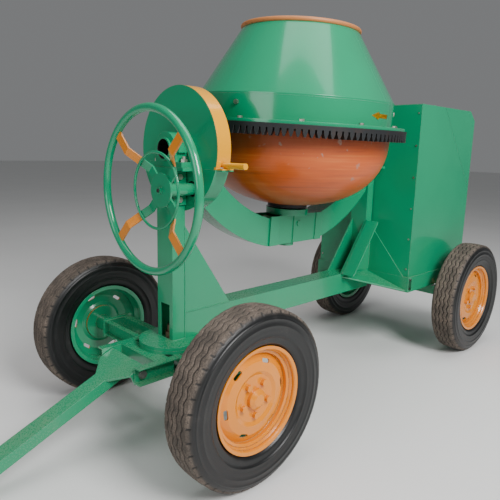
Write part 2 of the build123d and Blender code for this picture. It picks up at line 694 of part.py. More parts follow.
def guard_half(above):
    """One half of the guard with its two bolting lugs along the parting line."""
    z0 = GUARD_SPLIT_Z + PART_GAP / 2 if above else GUARD_SPLIT_Z - 2 * GUARD_R
    z1 = GUARD_SPLIT_Z + 2 * GUARD_R if above else GUARD_SPLIT_Z - PART_GAP / 2
    half = guard_shell() & block(GUARD_X0 - 5, GUARD_X1 + 5, -2 * GUARD_R, 2 * GUARD_R, z0, z1)
    near = split_half_width()
    lug_z = z0 if above else z1 - GUARD_LUG_T
    for side in (1, -1):
        half += block(GUARD_X0 + 6, GUARD_X1 - 6, side * (near - 2 * GUARD_SHEET), side * (near + GUARD_LUG_W),
                      lug_z, lug_z + GUARD_LUG_T)
    return half


GUARD_HANDLE_R = 13.0
GUARD_HANDLE_LEN = 130.0


def guard_handle():
    """A round handle bar standing out of the upper guard's left lug."""
    y0 = GUARD_R + 1
    z = GUARD_SPLIT_Z + PART_GAP / 2 + GUARD_LUG_T + GUARD_HANDLE_R
    x = (GUARD_X0 + GUARD_X1) / 2
    return rod_y(GUARD_HANDLE_R, y0, y0 + GUARD_HANDLE_LEN, x, z)


# ---------------------------------------------------------------- axles and steering
REAR_BAR = 60.0
SPINDLE_R = 17.0
SPINDLE_END = 8.0           # the spindle's end stands inside the hub cap


def spindle_pair(bar, x, half_track):
    """Round spindles turned on the ends of a square axle bar."""
    end = half_track + HUB_OUT - SPINDLE_END
    return bar + rod_y(SPINDLE_R, -end, end, x, AXLE_Z)


HUB_IN = 62.0               # hub barrel, from the wheel's middle plane inwards
HUB_OUT = 58.0              # and outwards, to the end of the hub cap


def rear_axle():
    """Square bar with spindles, hung from the base by two plates."""
    half = REAR_HALF_TRACK - HUB_IN - 6
    radius = REAR_BAR / 2
    bar = block(REAR_X - radius, REAR_X + radius, -half, half, AXLE_Z - radius, AXLE_Z + radius)
    axle = spindle_pair(bar, REAR_X, REAR_HALF_TRACK)
    low = CABINET_BOTTOM - BASE_DEPTH - FLOOR_SHEET
    for side in (1, -1):
        y = side * (CABINET_HALF_W - BASE_FLANGE / 2)
        axle += block(REAR_X - 45, REAR_X + 45, y - 10, y + 10, AXLE_Z, low)
    return axle


AXLE_BAR = 36.0
RAIL_B_X0 = FRONT_X + AXLE_BAR / 2 + 1.0
RAIL_B_X1 = RAIL_B_X0 + 28.0
RAIL_A_X1 = FRONT_X - 65.0
RAIL_A_X0 = FRONT_X - 105.0
RAIL_HALF = 478.0
END_PLATE = 12.0


def front_axle_bar():
    half = FRONT_HALF_TRACK - HUB_IN - 6
    radius = AXLE_BAR / 2
    bar = block(FRONT_X - radius, FRONT_X + radius, -half, half, AXLE_Z - radius, AXLE_Z + radius)
    return spindle_pair(bar, FRONT_X, FRONT_HALF_TRACK)


def axle_rails():
    """Two channels across the machine and the plates that close their ends."""
    pieces = [channel_y(RAIL_B_X0, RAIL_B_X1, -RAIL_HALF, RAIL_HALF),
              channel_y(RAIL_A_X1, RAIL_A_X0, -RAIL_HALF, RAIL_HALF)]
    for side in (1, -1):
        y0 = side * RAIL_HALF
        plate = block(RAIL_A_X0 - 6, RAIL_B_X1 + 6, y0, y0 + side * END_PLATE,
                      RAIL_BOTTOM - 12, RAIL_TOP + 12)
        half = AXLE_BAR / 2
        hole = block(FRONT_X - half, FRONT_X + half, y0 - 20, y0 + 20, AXLE_Z - half, AXLE_Z + half)
        pieces.append(plate - hole)
    return Compound(children=pieces)


LOWER_PLATE_TOP = RAIL_TOP + 14.0
UPPER_PLATE_LOW = LOWER_PLATE_TOP + TURNTABLE_GAP


def turntable_lower():
    plate = rod_z(TURNTABLE_R, RAIL_TOP, LOWER_PLATE_TOP, KING_X, 0)
    return plate - rod_z(KING_PIN_R + RUNNING, RAIL_TOP - 1, LOWER_PLATE_TOP + 1, KING_X, 0)


def turntable_upper():
    plate = rod_z(TURNTABLE_R, UPPER_PLATE_LOW, SPINE_BOTTOM, KING_X, 0)
    return plate - rod_z(KING_PIN_R, UPPER_PLATE_LOW - 1, SPINE_BOTTOM + 1, KING_X, 0)


def king_pin():
    """Pin through both turntable plates: collar below, nut in the post's doorway."""
    pin = rod_z(KING_PIN_R, RAIL_TOP - 14, SPINE_BOTTOM + 62, KING_X, 0)
    collar = rod_z(KING_PIN_R + 7, RAIL_TOP - 14, RAIL_TOP - 1, KING_X, 0)
    nut = Pos(KING_X, 0, SPINE_BOTTOM) * hexagon(50, 30)
    return pin + collar + nut


FORK_CROSS_X0 = 75.0
FORK_CROSS_X1 = 150.0


def tow_fork():
    """Two channels running forward from the axle, with a box between them."""
    pieces = []
    for side in (1, -1):
        web = side * (FORK_HALF_W - FORK_FLANGE)
        lip = side * FORK_HALF_W
        whole = block(RAIL_B_X1, FRONT_X + FORK_FRONT, web, lip, RAIL_BOTTOM, RAIL_TOP)
        hollow = block(RAIL_B_X1, FRONT_X + FORK_FRONT, web + side * RAIL_WALL, lip,
                       RAIL_BOTTOM + RAIL_WALL, RAIL_TOP - RAIL_WALL)
        bore = rod_y(DRAWBAR_PIN_R, web - side * 5, lip, PIN_X, DRAWBAR_PIN_Z)
        pieces.append(whole - hollow - bore)
    inner = FORK_HALF_W - FORK_FLANGE
    tube = block(FRONT_X + FORK_CROSS_X0, FRONT_X + FORK_CROSS_X1, -inner, inner, RAIL_BOTTOM, RAIL_TOP)
    tube -= block(FRONT_X + FORK_CROSS_X0 + RAIL_WALL, FRONT_X + FORK_CROSS_X1 - RAIL_WALL, -inner, inner,
                  RAIL_BOTTOM + RAIL_WALL, RAIL_TOP - RAIL_WALL)
    pieces.append(tube)
    return Compound(children=pieces)


def drawbar_pin():
    """Pin through the fork, with a head on each side."""
    web = FORK_HALF_W - FORK_FLANGE + RAIL_WALL
    pin = rod_y(DRAWBAR_PIN_R, -web - 8, web + 8, PIN_X, DRAWBAR_PIN_Z)
    heads = [Pos(PIN_X, side * web, DRAWBAR_PIN_Z) * Rot(-90 * side, 0, 0) * hexagon(34, 12)
             for side in (1, -1)]
    return pin + heads


# ---------------------------------------------------------------- drawbar
FLARE_HALF_W = 130.0
FLARE_BACK = 27.0           # flared plate behind the pin
FLARE_FLAT = 45.0           # its straight stretch ahead of the pin
FLARE_NECK = 120.0          # where it meets the bar
CHEEK = 10.0
CHEEK_HIGH = 56.0


def on_drawbar(shape):
    """Move a shape from the bar's own frame, pin at the origin, to its resting place."""
    return Pos(PIN_X, 0, DRAWBAR_PIN_Z) * Rot(0, DRAWBAR_SLOPE, 0) * shape


def drawbar():
    """Flared plate with two bored cheeks, welded to a box-section bar."""
    top = DRAWBAR_H / 2
    flare = [(-FLARE_BACK, -FLARE_HALF_W), (FLARE_FLAT, -FLARE_HALF_W), (FLARE_NECK, -DRAWBAR_W / 2),
             (FLARE_NECK + 40, -DRAWBAR_W / 2), (FLARE_NECK + 40, DRAWBAR_W / 2), (FLARE_NECK, DRAWBAR_W / 2),
             (FLARE_FLAT, FLARE_HALF_W), (-FLARE_BACK, FLARE_HALF_W)]
    body = plate_xy(flare, top - CHEEK, top)
    for side in (1, -1):
        outer = side * FLARE_HALF_W
        cheek = block(-FLARE_BACK + 2, FLARE_FLAT, outer - side * CHEEK, outer, top - CHEEK_HIGH, top)
        body += cheek
    bar = block(FLARE_FLAT - 10, EYE_REACH - EYE_R + 6, -DRAWBAR_W / 2, DRAWBAR_W / 2, -top, top)
    wall = 5.0
    bar -= block(FLARE_FLAT - 10, EYE_REACH - EYE_R - 30, -DRAWBAR_W / 2 + wall, DRAWBAR_W / 2 - wall,
                 -top + wall, top - wall)
    body += bar
    body -= rod_y(DRAWBAR_PIN_R + RUNNING, -FLARE_HALF_W - 1, FLARE_HALF_W + 1, 0, 0)
    body -= Pos(EYE_REACH, 0, 0) * Cylinder(EYE_R, DRAWBAR_H + 2)
    return on_drawbar(body)


def tow_eye():
    """A flat forged ring on a shank that is welded to the end of the bar."""
    ring = Pos(EYE_REACH, 0, 0) * Cylinder(EYE_R, EYE_THICK)
    return on_drawbar(ring - Pos(EYE_REACH, 0, 0) * Cylinder(EYE_BORE_R, EYE_THICK + 2))


# ---------------------------------------------------------------- wheels
TREAD_GROOVES = (-39.0, -13.0, 13.0, 39.0)
TREAD_HALF = 62.0
GROOVE_W = 6.0
GROOVE_DEPTH = 8.0
BEAD_R = 207.0
BEAD_SEAT = 12.0            # bead inside the rim flange, each side
TYRE_WALL = 14.0


def tyre_outline():
    """Radius and offset round the tyre's hollow section, starting inside at the left bead."""
    half_rim = RIM_W / 2 - BEAD_SEAT
    outer = [(BEAD_R, -half_rim), (RIM_FLANGE_R + 4, -half_rim - 5), (270.0, -TYRE_W / 2 + 3),
             (300.0, -TYRE_W / 2), (328.0, -TYRE_W / 2 + 4), (352.0, -TREAD_HALF - 6)]
    tread = [(TYRE_R - 4, -TREAD_HALF)]
    for groove in TREAD_GROOVES:
        tread += [(TYRE_R, groove - GROOVE_W / 2), (TYRE_R - GROOVE_DEPTH, groove - GROOVE_W / 2),
                  (TYRE_R - GROOVE_DEPTH, groove + GROOVE_W / 2), (TYRE_R, groove + GROOVE_W / 2)]
    right = [(r, -w) for r, w in reversed(outer)]
    inner = [(BEAD_R, half_rim - TYRE_WALL), (270.0, TYRE_W / 2 - TYRE_WALL), (320.0, TYRE_W / 2 - TYRE_WALL),
             (TYRE_R - 24, 40.0), (TYRE_R - 24, -40.0), (320.0, -TYRE_W / 2 + TYRE_WALL),
             (270.0, -TYRE_W / 2 + TYRE_WALL), (BEAD_R, -half_rim + TYRE_WALL)]
    return outer + tread + [(TYRE_R - 4, TREAD_HALF)] + right + inner


def wheel_place(x, y, side):
    """Turn a wheel built on Z so that its outside faces out on its own side."""
    return Pos(x, y, AXLE_Z) * Rot(-90 * side, 0, 0)


VENTS = 6
VENT_R = 152.0
VENT_LONG = 44.0
VENT_WIDE = 16.0
VENT_PHASE = 8.0
STUD_PCD = 139.7
STUDS = 5
RIM_SHEET = 6.0


def rim_outline():
    """Radius and offset of the rim and disc; the outside of the wheel is positive."""
    half = RIM_W / 2
    sheet = RIM_SHEET
    return [(RIM_FLANGE_R, half), (206.5, half - 2), (203.0, half - 7), (201.5, 38.0), (184.0, 30.0),
            (184.0, 12.0), (150.0, 32.0), (112.0, 38.0), (96.0, 30.0), (HUB_R, 30.0), (HUB_R, 24.0), (98.0, 24.0),
            (112.0, 31.0), (150.0, 25.0), (184.0, 2.0), (184.0, -18.0), (196.0, -38.0), (197.0, -half + 7),
            (200.5, -half + 1), (RIM_FLANGE_R, -half), (RIM_FLANGE_R, -half + sheet), (206.0, -half + 9),
            (202.7, -38.0), (190.0, -16.0), (190.0, 28.0), (206.0, half - 11), (RIM_FLANGE_R, half - sheet)]


HUB_R = 42.0
HUB_FLANGE_R = 92.0


def rim_body():
    wheel = spun(rim_outline())
    vent = Pos(0, 0, 20) * Rot(0, 0, 90) * extrude(SlotOverall(VENT_LONG, VENT_WIDE), 60, both=True)
    for place in ring_of(VENTS, VENT_R, VENT_PHASE):
        wheel -= place * vent
    return wheel


def hub_body():
    """Turned hub: barrel bored for the spindle, flange behind the disc, cap in front."""
    outline = [(SPINDLE_R + RUNNING, -HUB_IN), (HUB_R, -HUB_IN), (HUB_R, 12.0), (HUB_FLANGE_R, 12.0),
               (HUB_FLANGE_R, 24.0 - PART_GAP), (HUB_R - PART_GAP, 24.0 - PART_GAP), (HUB_R - PART_GAP, 46.0),
               (30.0, HUB_OUT - 4), (24.0, HUB_OUT), (0.0, HUB_OUT), (0.0, HUB_OUT - 4),
               (SPINDLE_R + RUNNING, HUB_OUT - 5)]
    return spun(outline)


def wheel_nuts():
    return [place * Pos(0, 0, 30.0) * hexagon(24, 16) for place in ring_of(STUDS, STUD_PCD / 2, 18)]


def rim_with_hub(x, y, side):
    parts = [rim_body(), hub_body()] + wheel_nuts()
    return Compound(children=[wheel_place(x, y, side) * piece for piece in parts])


def tyre(x, y, side):
    return wheel_place(x, y, side) * spun(tyre_outline())


# ---------------------------------------------------------------- yoke
YOKE_HALF_W = 60.0
YOKE_ARC_Z = 1745.0
YOKE_OUTER_R = 950.0
YOKE_INNER_R = 802.0
YOKE_FLAT_LOW = 817.0       # level stretches of the outline under and over its middle
YOKE_FLAT_TOP = 968.0
YOKE_ARM_IN = 612.0         # inner face of each arm, from the drum axis
YOKE_ARM_OUT = 682.0
YOKE_TOP = 62.0             # arm top above the trunnion axis
YOKE_WALL = 8.0
THRUST_TUBE_R = 50.0


def arc_height(radius, out):
    """Height of a yoke arc at a distance out from the drum axis."""
    return YOKE_ARC_Z - math.sqrt(radius ** 2 - out ** 2)


def flat_arc(radius, arm, flat_z):
    """One edge of the yoke: arc, level stretch in the middle, arc, from left to right."""
    end = math.sqrt(radius ** 2 - (YOKE_ARC_Z - flat_z) ** 2)
    middle = (arm + end) / 2
    tip = (arm, arc_height(radius, arm))
    way = (middle, arc_height(radius, middle))
    return [ThreePointArc((-tip[0], tip[1]), (-way[0], way[1]), (-end, flat_z)),
            Line((-end, flat_z), (end, flat_z)), ThreePointArc((end, flat_z), way, tip)]


def yoke_face(inset):
    """U-shaped outline of the yoke in X and Z, drawn inset by a wall."""
    outer_r = YOKE_OUTER_R - inset
    inner_r = YOKE_INNER_R + inset
    arm_out = YOKE_ARM_OUT - inset
    arm_in = YOKE_ARM_IN + inset
    top = TRUNNION_Z + YOKE_TOP - inset
    lines = flat_arc(outer_r, arm_out, YOKE_FLAT_LOW + inset) + flat_arc(inner_r, arm_in, YOKE_FLAT_TOP - inset)
    for side in (1, -1):
        low_out = arc_height(outer_r, arm_out)
        low_in = arc_height(inner_r, arm_in)
        lines += [Line((side * arm_out, low_out), (side * arm_out, top)),
                  Line((side * arm_out, top), (side * arm_in, top)),
                  Line((side * arm_in, top), (side * arm_in, low_in))]
    return make_face([Plane.XZ * line for line in lines])


def yoke_frame():
    """A box-section U that carries the drum between the trunnions."""
    whole = extrude(yoke_face(0), YOKE_HALF_W, both=True)
    hollow = extrude(yoke_face(YOKE_WALL), YOKE_HALF_W - YOKE_WALL, both=True)
    frame = Pos(DRUM_X, 0, 0) * (whole - hollow)
    frame -= rod_z(THRUST_TUBE_R + PART_GAP, THRUST_LOW - 1, THRUST_TOP + 1, DRUM_X, 0)
    reach = YOKE_ARM_OUT + 1
    frame -= rod_x(TRUNNION_R - TRUNNION_WALL, DRUM_X - reach, DRUM_X + reach, 0, TRUNNION_Z)
    return leaned(frame)


BOX_FRONT = 197.0           # side plates, ahead of the drum axis
BOX_BACK = 240.0            # and behind it
BOX_TOP = 978.0
BOX_PLATE = 3.0
BOX_STRIP = 6.0
BOX_STRIPS = ((131.0, BOX_FRONT), (3.0, 9.0), (-BOX_BACK, -185.0))
BOX_BOLT = (-38.0, 924.0)   # behind the drum axis, and height
COLLAR_R = 118.0
THRUST_TOP = 1012.0
THRUST_LOW = 797.0
SPINDLE_DRUM_R = 30.0


def box_side(side):
    """One side plate of the bearing box, with its upright strips and a bolt head."""
    face = side * YOKE_HALF_W
    skin = face + side * BOX_PLATE
    plate = block(DRUM_X - BOX_BACK, DRUM_X + BOX_FRONT, face, skin, YOKE_FLAT_LOW, BOX_TOP)
    for x0, x1 in BOX_STRIPS:
        plate += block(DRUM_X + x0, DRUM_X + x1, skin, skin + side * BOX_STRIP, YOKE_FLAT_LOW, BOX_TOP)
    return plate + Pos(DRUM_X + BOX_BOLT[0], skin, BOX_BOLT[1]) * Rot(-90 * side, 0, 0) * hexagon(30, BOX_STRIP)


def yoke_bearing_box():
    """Side plates, a round housing and a bored tube under the drum, for its spindle."""
    tube = rod_z(THRUST_TUBE_R, THRUST_LOW, THRUST_TOP, DRUM_X, 0)
    body = tube + rod_z(COLLAR_R, BOX_TOP, THRUST_TOP, DRUM_X, 0) + box_side(1) + box_side(-1)
    return leaned(body - rod_z(SPINDLE_DRUM_R + RUNNING, THRUST_LOW - 1, THRUST_TOP + 1, DRUM_X, 0))


FRONT_TRUNNION_END = FRONT_X + 2.0


def trunnion_pipes():
    """Front and rear hollow trunnions; the rear one is bushed for the drive shaft."""
    front_root = DRUM_X + YOKE_ARM_OUT
    rear_root = DRUM_X - YOKE_ARM_OUT
    front = rod_x(TRUNNION_R, front_root, FRONT_TRUNNION_END, 0, TRUNNION_Z)
    front -= rod_x(TRUNNION_R - TRUNNION_WALL, front_root - 1, FRONT_TRUNNION_END + 1, 0, TRUNNION_Z)
    rear_end = REAR_POST_X0 - 12
    rear = rod_x(TRUNNION_R, rear_end, rear_root, 0, TRUNNION_Z)
    rear -= rod_x(SHAFT_R + RUNNING, rear_end - 1, rear_root + 1, 0, TRUNNION_Z)
    return Compound(children=[leaned(front), leaned(rear)])


def tilt_gear():
    """Large spur gear fixed on the front trunnion; a tooth gap faces its pinion."""
    gear = spur_gear(TILT_MODULE, TILT_GEAR_TEETH, TILT_GEAR_W, 0.6)
    gear -= Cylinder(TRUNNION_R, TILT_GEAR_W + 2)
    for place in ring_of(6, 104):
        gear -= place * Cylinder(30, TILT_GEAR_W + 2)
    towards = math.degrees(math.atan2(HAND_SHAFT_Z - TRUNNION_Z, HAND_SHAFT_Y))
    half_tooth = 180 / TILT_GEAR_TEETH
    x = (GUARD_X0 + GUARD_X1) / 2
    facing = Rot(0, 90, 0) * Rot(0, 0, 90 + towards + half_tooth)
    return Pos(x, 0, TRUNNION_Z) * facing * gear


def tilt_pinion():
    """Small gear cut on the inner end of the handwheel shaft; a tooth faces the gear."""
    towards = math.degrees(math.atan2(TRUNNION_Z - HAND_SHAFT_Z, -HAND_SHAFT_Y))
    x = (GUARD_X0 + GUARD_X1) / 2
    gear = spur_gear(TILT_MODULE, TILT_PINION_TEETH, TILT_GEAR_W + 4, 0.6)
    facing = Rot(0, 90, 0) * Rot(0, 0, 90 + towards)
    shaft = rod_x(HAND_SHAFT_R, x, HUB_X - HAND_DISC, HAND_SHAFT_Y, HAND_SHAFT_Z)
    shaft += rod_x(HAND_STUD_R, x, HUB_X + 15, HAND_SHAFT_Y, HAND_SHAFT_Z)
    return Pos(x, HAND_SHAFT_Y, HAND_SHAFT_Z) * facing * gear + shaft


# ---------------------------------------------------------------- drum
def bowl_curve(radius, bottom, count):
    """Points down the bowl's side, from its shoulder to the middle of its bottom."""
    points = []
    for step in range(count + 1):
        turn = math.pi / 2 * step / count
        out = radius * math.cos(turn) ** (2 / BOWL_POWER)
        drop = (BOWL_SHOULDER - bottom) * math.sin(turn) ** (2 / BOWL_POWER)
        points.append((out, BOWL_SHOULDER - drop))
    points[-1] = (0.0, bottom)
    return points


BOWL_STEPS = 14


def bowl_solid(inset):
    """Bowl and the straight stretch above it as one filled solid, inset by the wall."""
    curve = bowl_curve(DRUM_R - inset, BOWL_BOTTOM + inset, BOWL_STEPS)
    spline = Spline(*[Vector(r, 0, z) for r, z in curve], tangents=[(0, 0, -1), (-1, 0, 0)])
    top = GEAR_TOP
    edges = [spline, Line((0, 0, BOWL_BOTTOM + inset), (0, 0, top)),
             Line((0, 0, top), (DRUM_R - inset, 0, top)),
             Line((DRUM_R - inset, 0, top), (DRUM_R - inset, 0, BOWL_SHOULDER))]
    return revolve(make_face(edges), Axis.Z)


def on_drum(shape):
    """Move a shape from the drum's own axis to its leaning place."""
    return leaned(Pos(DRUM_X, 0, 0) * shape)


def drum_bowl():
    return on_drum(bowl_solid(0) - bowl_solid(DRUM_WALL))


BAND_R = DRUM_R + 2.5
BAND_FLANGE_R = 588.0
BAND_FLANGE = 14.0
CONE_LAP = 8.0


def drum_band():
    """Straight band above the ring gear, with the flange that bolts down on it."""
    inner = BAND_R - DRUM_WALL
    flange_top = GEAR_TOP + BAND_FLANGE
    return on_drum(spun([(inner, GEAR_TOP), (BAND_FLANGE_R, GEAR_TOP), (BAND_FLANGE_R, flange_top),
                         (BAND_R, flange_top), (BAND_R, BAND_TOP), (inner, BAND_TOP)]))


CONE_TOP_R = MOUTH_R - MOUTH_BEAD_R
CONE_TOP = MOUTH_Z - 2 * MOUTH_BEAD_R


def drum_cone():
    """Sloping upper half of the drum."""
    inner_low = BAND_R - DRUM_WALL
    return on_drum(spun([(inner_low, BAND_TOP), (BAND_R, BAND_TOP), (BAND_R, BAND_TOP + CONE_LAP),
                         (CONE_TOP_R + 4, CONE_TOP), (CONE_TOP_R - 4, CONE_TOP),
                         (inner_low, BAND_TOP + CONE_LAP)]))


def mouth_ring():
    """Rolled bead round the mouth."""
    return on_drum(Pos(0, 0, MOUTH_Z - MOUTH_BEAD_R) * Torus(CONE_TOP_R, MOUTH_BEAD_R))


def tooth_gap():
    """One gap between crown teeth, running outwards along X; its mouth faces down."""
    slope = math.tan(math.radians(PRESSURE_ANGLE))
    half_pitch = math.pi * GEAR_MODULE / 4 + RING_BACKLASH / 2
    low = half_pitch + slope * GEAR_MODULE
    narrow = half_pitch - slope * 1.25 * GEAR_MODULE
    root = RING_TIP_Z + 2.25 * GEAR_MODULE
    points = [(-low, RING_TIP_Z), (low, RING_TIP_Z), (narrow, root), (narrow, RING_ROOT_Z),
              (-narrow, RING_ROOT_Z), (-narrow, root)]
    face = make_face(Plane.YZ * Polyline(*points, close=True))
    length = RING_OUTER_R - RING_TOOTH_INNER_R + 5
    return Pos(RING_TOOTH_INNER_R - 1, 0, 0) * extrude(face, length, dir=(1, 0, 0))


def ring_gear():
    """Cast crown gear round the drum: a flat flange with its teeth hanging below."""
    ring = spun([(DRUM_R + PART_GAP, GEAR_TOP - RING_WEB), (RING_TOOTH_INNER_R, RING_ROOT_Z),
                 (RING_TOOTH_INNER_R, RING_TIP_Z), (RING_OUTER_R, RING_TIP_Z), (RING_OUTER_R, GEAR_TOP),
                 (DRUM_R + PART_GAP, GEAR_TOP)])
    gap = tooth_gap()
    gaps = [Rot(0, 0, 180 + 360 / RING_TEETH * i) * gap for i in range(RING_TEETH)]
    return on_drum(ring - gaps)


DRUM_BOLTS = 12


def drum_bolts():
    """Bolts through the band's flange, and the blade bolts on the band and the cone."""
    bolts = []
    for place in ring_of(DRUM_BOLTS, (BAND_R + BAND_FLANGE_R) / 2, 15):
        bolts.append(place * Pos(0, 0, GEAR_TOP + BAND_FLANGE) * hexagon(22, 10))
    for angle in BLADE_ANGLES:
        head = Pos(BAND_R, 0, BAND_TOP - 40) * Rot(0, 90, 0) * hexagon(22, 10)
        bolts.append(Rot(0, 0, angle) * head)
    return Compound(children=[on_drum(bolt) for bolt in bolts])


BLADE_ANGLES = (10.0, 130.0, 250.0)
BLADE_T = 8.0
BLADE_PITCH = 30.0


def drum_inside():
    """The space inside the drum, as a solid."""
    inner = BAND_R - DRUM_WALL
    upper = spun([(0, GEAR_TOP), (inner, GEAR_TOP), (inner, BAND_TOP + CONE_LAP),
                  (CONE_TOP_R - 5, CONE_TOP), (0, CONE_TOP)])
    return upper + bowl_solid(DRUM_WALL)


def mixing_blades():
    """Slanting paddles bolted inside the drum wall."""
    space = drum_inside()
    hole = Cylinder(330, 1000, align=(Align.CENTER, Align.CENTER, Align.MIN))
    blades = []
    for angle in BLADE_ANGLES:
        sheet = Pos(430, 0, 1400) * Rot(0, 0, 20) * Rot(BLADE_PITCH, 0, 0) * Box(320, BLADE_T, 480)
        sheet = sheet & space
        sheet -= Pos(0, 0, 1000) * hole
        blades.append(Rot(0, 0, angle) * sheet)
    return Compound(children=[on_drum(blade) for blade in blades])


SPINDLE_FLANGE_R = 110.0
SPINDLE_FLANGE = 14.0


def drum_spindle():
    """Flanged stub shaft under the bowl that turns in the yoke's bearing tube."""
    shaft = rod_z(SPINDLE_DRUM_R, THRUST_LOW + 4, BOWL_BOTTOM, 0, 0)
    flange = rod_z(SPINDLE_FLANGE_R, BOWL_BOTTOM - SPINDLE_FLANGE, BOWL_BOTTOM + 20, 0, 0)
    return on_drum(shaft + flange - bowl_solid(0))


# ---------------------------------------------------------------- drive pinion
PINION_W = 44.0


def drive_pinion():
    """Pinion and its shaft, through the rear trunnion to the belt pulley."""
    x1 = DRUM_X - RING_TOOTH_INNER_R - 2
    middle = x1 - PINION_W / 2
    gear = spur_gear(GEAR_MODULE, PINION_TEETH, PINION_W, 2.0)
    gear = Pos(middle, 0, TRUNNION_Z) * Rot(0, 90, 0) * Rot(0, 0, 180) * gear
    shaft = rod_x(SHAFT_R, PULLEY_X - PULLEY_W / 2 - 8, middle, 0, TRUNNION_Z)
    return leaned(gear + shaft)


# ---------------------------------------------------------------- handwheel
SPOKE_T = 8.0
SPOKE_LEVEL_R = 120.0       # the spokes lie flat behind the hub's disc out to here
SPOKE_RIM_R = 225.0         # and flat in the rim's plane from here
INNER_BAR_R = 6.0
HAND_DISC = 8.0
HAND_BOSS_R = 26.0
HAND_NUT_FLATS = 26.0


def on_hand_axis(shape):
    """Turn a shape built on Z to face forward on the handwheel's shaft."""
    return Plane(origin=(0, HAND_SHAFT_Y, HAND_SHAFT_Z), x_dir=(0, 1, 0), z_dir=(1, 0, 0)) * shape


def handwheel_rim():
    return on_hand_axis(Pos(0, 0, RIM_X) * Torus(HAND_RIM_R, HAND_TUBE_R))


def spoke():
    """One flat spoke: level behind the hub's disc, slanting forward, then level to the rim."""
    start = HAND_HUB_R - 22
    end = HAND_RIM_R - HAND_TUBE_R + 4
    hub_z = HUB_X - HAND_DISC
    rim_z = RIM_X + SPOKE_T / 2
    front = [(start, hub_z), (SPOKE_LEVEL_R, hub_z), (SPOKE_RIM_R, rim_z), (end, rim_z)]
    back = [(radius, z - SPOKE_T) for radius, z in reversed(front)]
    face = make_face(Plane.XZ * Polyline(*front, *back, close=True))
    return extrude(face, SPOKE_W / 2, both=True) - Pos(0, 0, RIM_X) * Torus(HAND_RIM_R, HAND_TUBE_R)


def handwheel_spokes():
    """Four spokes and the inner ring welded on their slanting fronts."""
    rise = (RIM_X + SPOKE_T / 2 - HUB_X + HAND_DISC) / (SPOKE_RIM_R - SPOKE_LEVEL_R)
    seat = HUB_X - HAND_DISC + rise * (HAND_RING_R - SPOKE_LEVEL_R)
    ring = Pos(0, 0, seat + INNER_BAR_R) * Torus(HAND_RING_R, INNER_BAR_R)
    return on_hand_axis(ring + [Rot(0, 0, SPOKE_PHASE + 90 * i) * spoke() for i in range(4)])


def handwheel_hub():
    """Disc in front of the spokes, the boss behind it and the nut on the shaft's end."""
    disc = Pos(0, 0, HUB_X - HAND_DISC / 2) * Cylinder(HAND_HUB_R, HAND_DISC)
    body = disc + Pos(0, 0, HUB_X) * hexagon(HAND_NUT_FLATS, 12) - Pos(0, 0, HUB_X) * Cylinder(HAND_STUD_R, 40)
    boss = Pos(0, 0, HUB_X - 15) * (Cylinder(HAND_BOSS_R, 14) - Cylinder(HAND_SHAFT_R, 14))
    return on_hand_axis(body + boss)


# ---------------------------------------------------------------- write every piece
PIECES = {
    "spine_beam": spine_beam,
    "front_post": front_post,
    "rear_post": rear_post,
    "frame_gussets": frame_gussets,
    "engine_base": engine_base,
    "cabinet_front": cabinet_front,
    "cabinet_sides": cabinet_sides,
    "cabinet_rear": cabinet_rear,
    "cabinet_roof": cabinet_roof,
    "hood_hinges": hood_hinges,
    "hood_cover": hood_cover,
    "hood_handle": hood_handle,
    "engine_block": engine_block,
    "cylinder_head": cylinder_head,
    "fuel_tank": fuel_tank,
    "exhaust_silencer": exhaust_silencer,
    "engine_flywheel": engine_flywheel,
    "v_belts": v_belts,
    "drive_pulley": drive_pulley,
    "drive_pinion": drive_pinion,
    "plummer_blocks": plummer_blocks,
    "frame_bolts": frame_bolts,
    "handwheel_bearing": handwheel_bearing,
    "guard_handle": guard_handle,
    "rear_axle": rear_axle,
    "turntable_upper": turntable_upper,
    "king_pin": king_pin,
    "turntable_lower": turntable_lower,
    "axle_rails": axle_rails,
    "front_axle_bar": front_axle_bar,
    "tow_fork": tow_fork,
    "drawbar_pin": drawbar_pin,
    "drawbar": drawbar,
    "tow_eye": tow_eye,
    "yoke_frame": yoke_frame,
    "yoke_bearing_box": yoke_bearing_box,
    "trunnion_pipes": trunnion_pipes,
    "tilt_gear": tilt_gear,
    "tilt_pinion": tilt_pinion,
    "handwheel_rim": handwheel_rim,
    "handwheel_spokes": handwheel_spokes,
    "handwheel_hub": handwheel_hub,
    "drum_bowl": drum_bowl,
    "drum_band": drum_band,
    "drum_cone": drum_cone,
    "mouth_ring": mouth_ring,
    "ring_gear": ring_gear,
    "drum_bolts": drum_bolts,
    "mixing_blades": mixing_blades,
    "drum_spindle": drum_spindle,
}


def build_all():
    os.makedirs("parts", exist_ok=True)
    for name, make in PIECES.items():
        export_step(make(), f"parts/{name}.step")
    export_step(guard_half(True), "parts/guard_upper.step")
    export_step(guard_half(False), "parts/guard_lower.step")
    for name, (x, y, side) in WHEELS.items():
        export_step(tyre(x, y, side), f"parts/tyre_{name}.step")
        export_step(rim_with_hub(x, y, side), f"parts/rim_{name}.step")


build_all()
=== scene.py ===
"""Looks of a towable tilting-drum concrete mixer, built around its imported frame.

Everything is in metres and in the frame's own axes: +X points forward along the
drawbar, +Y to the machine's left and +Z up, with the ground at Z = 0.
"""

import logging
import math
from dataclasses import dataclass
from enum import Enum
from typing import Any, Iterable, Sequence

import bmesh
import bpy
from mathutils import Matrix, Vector


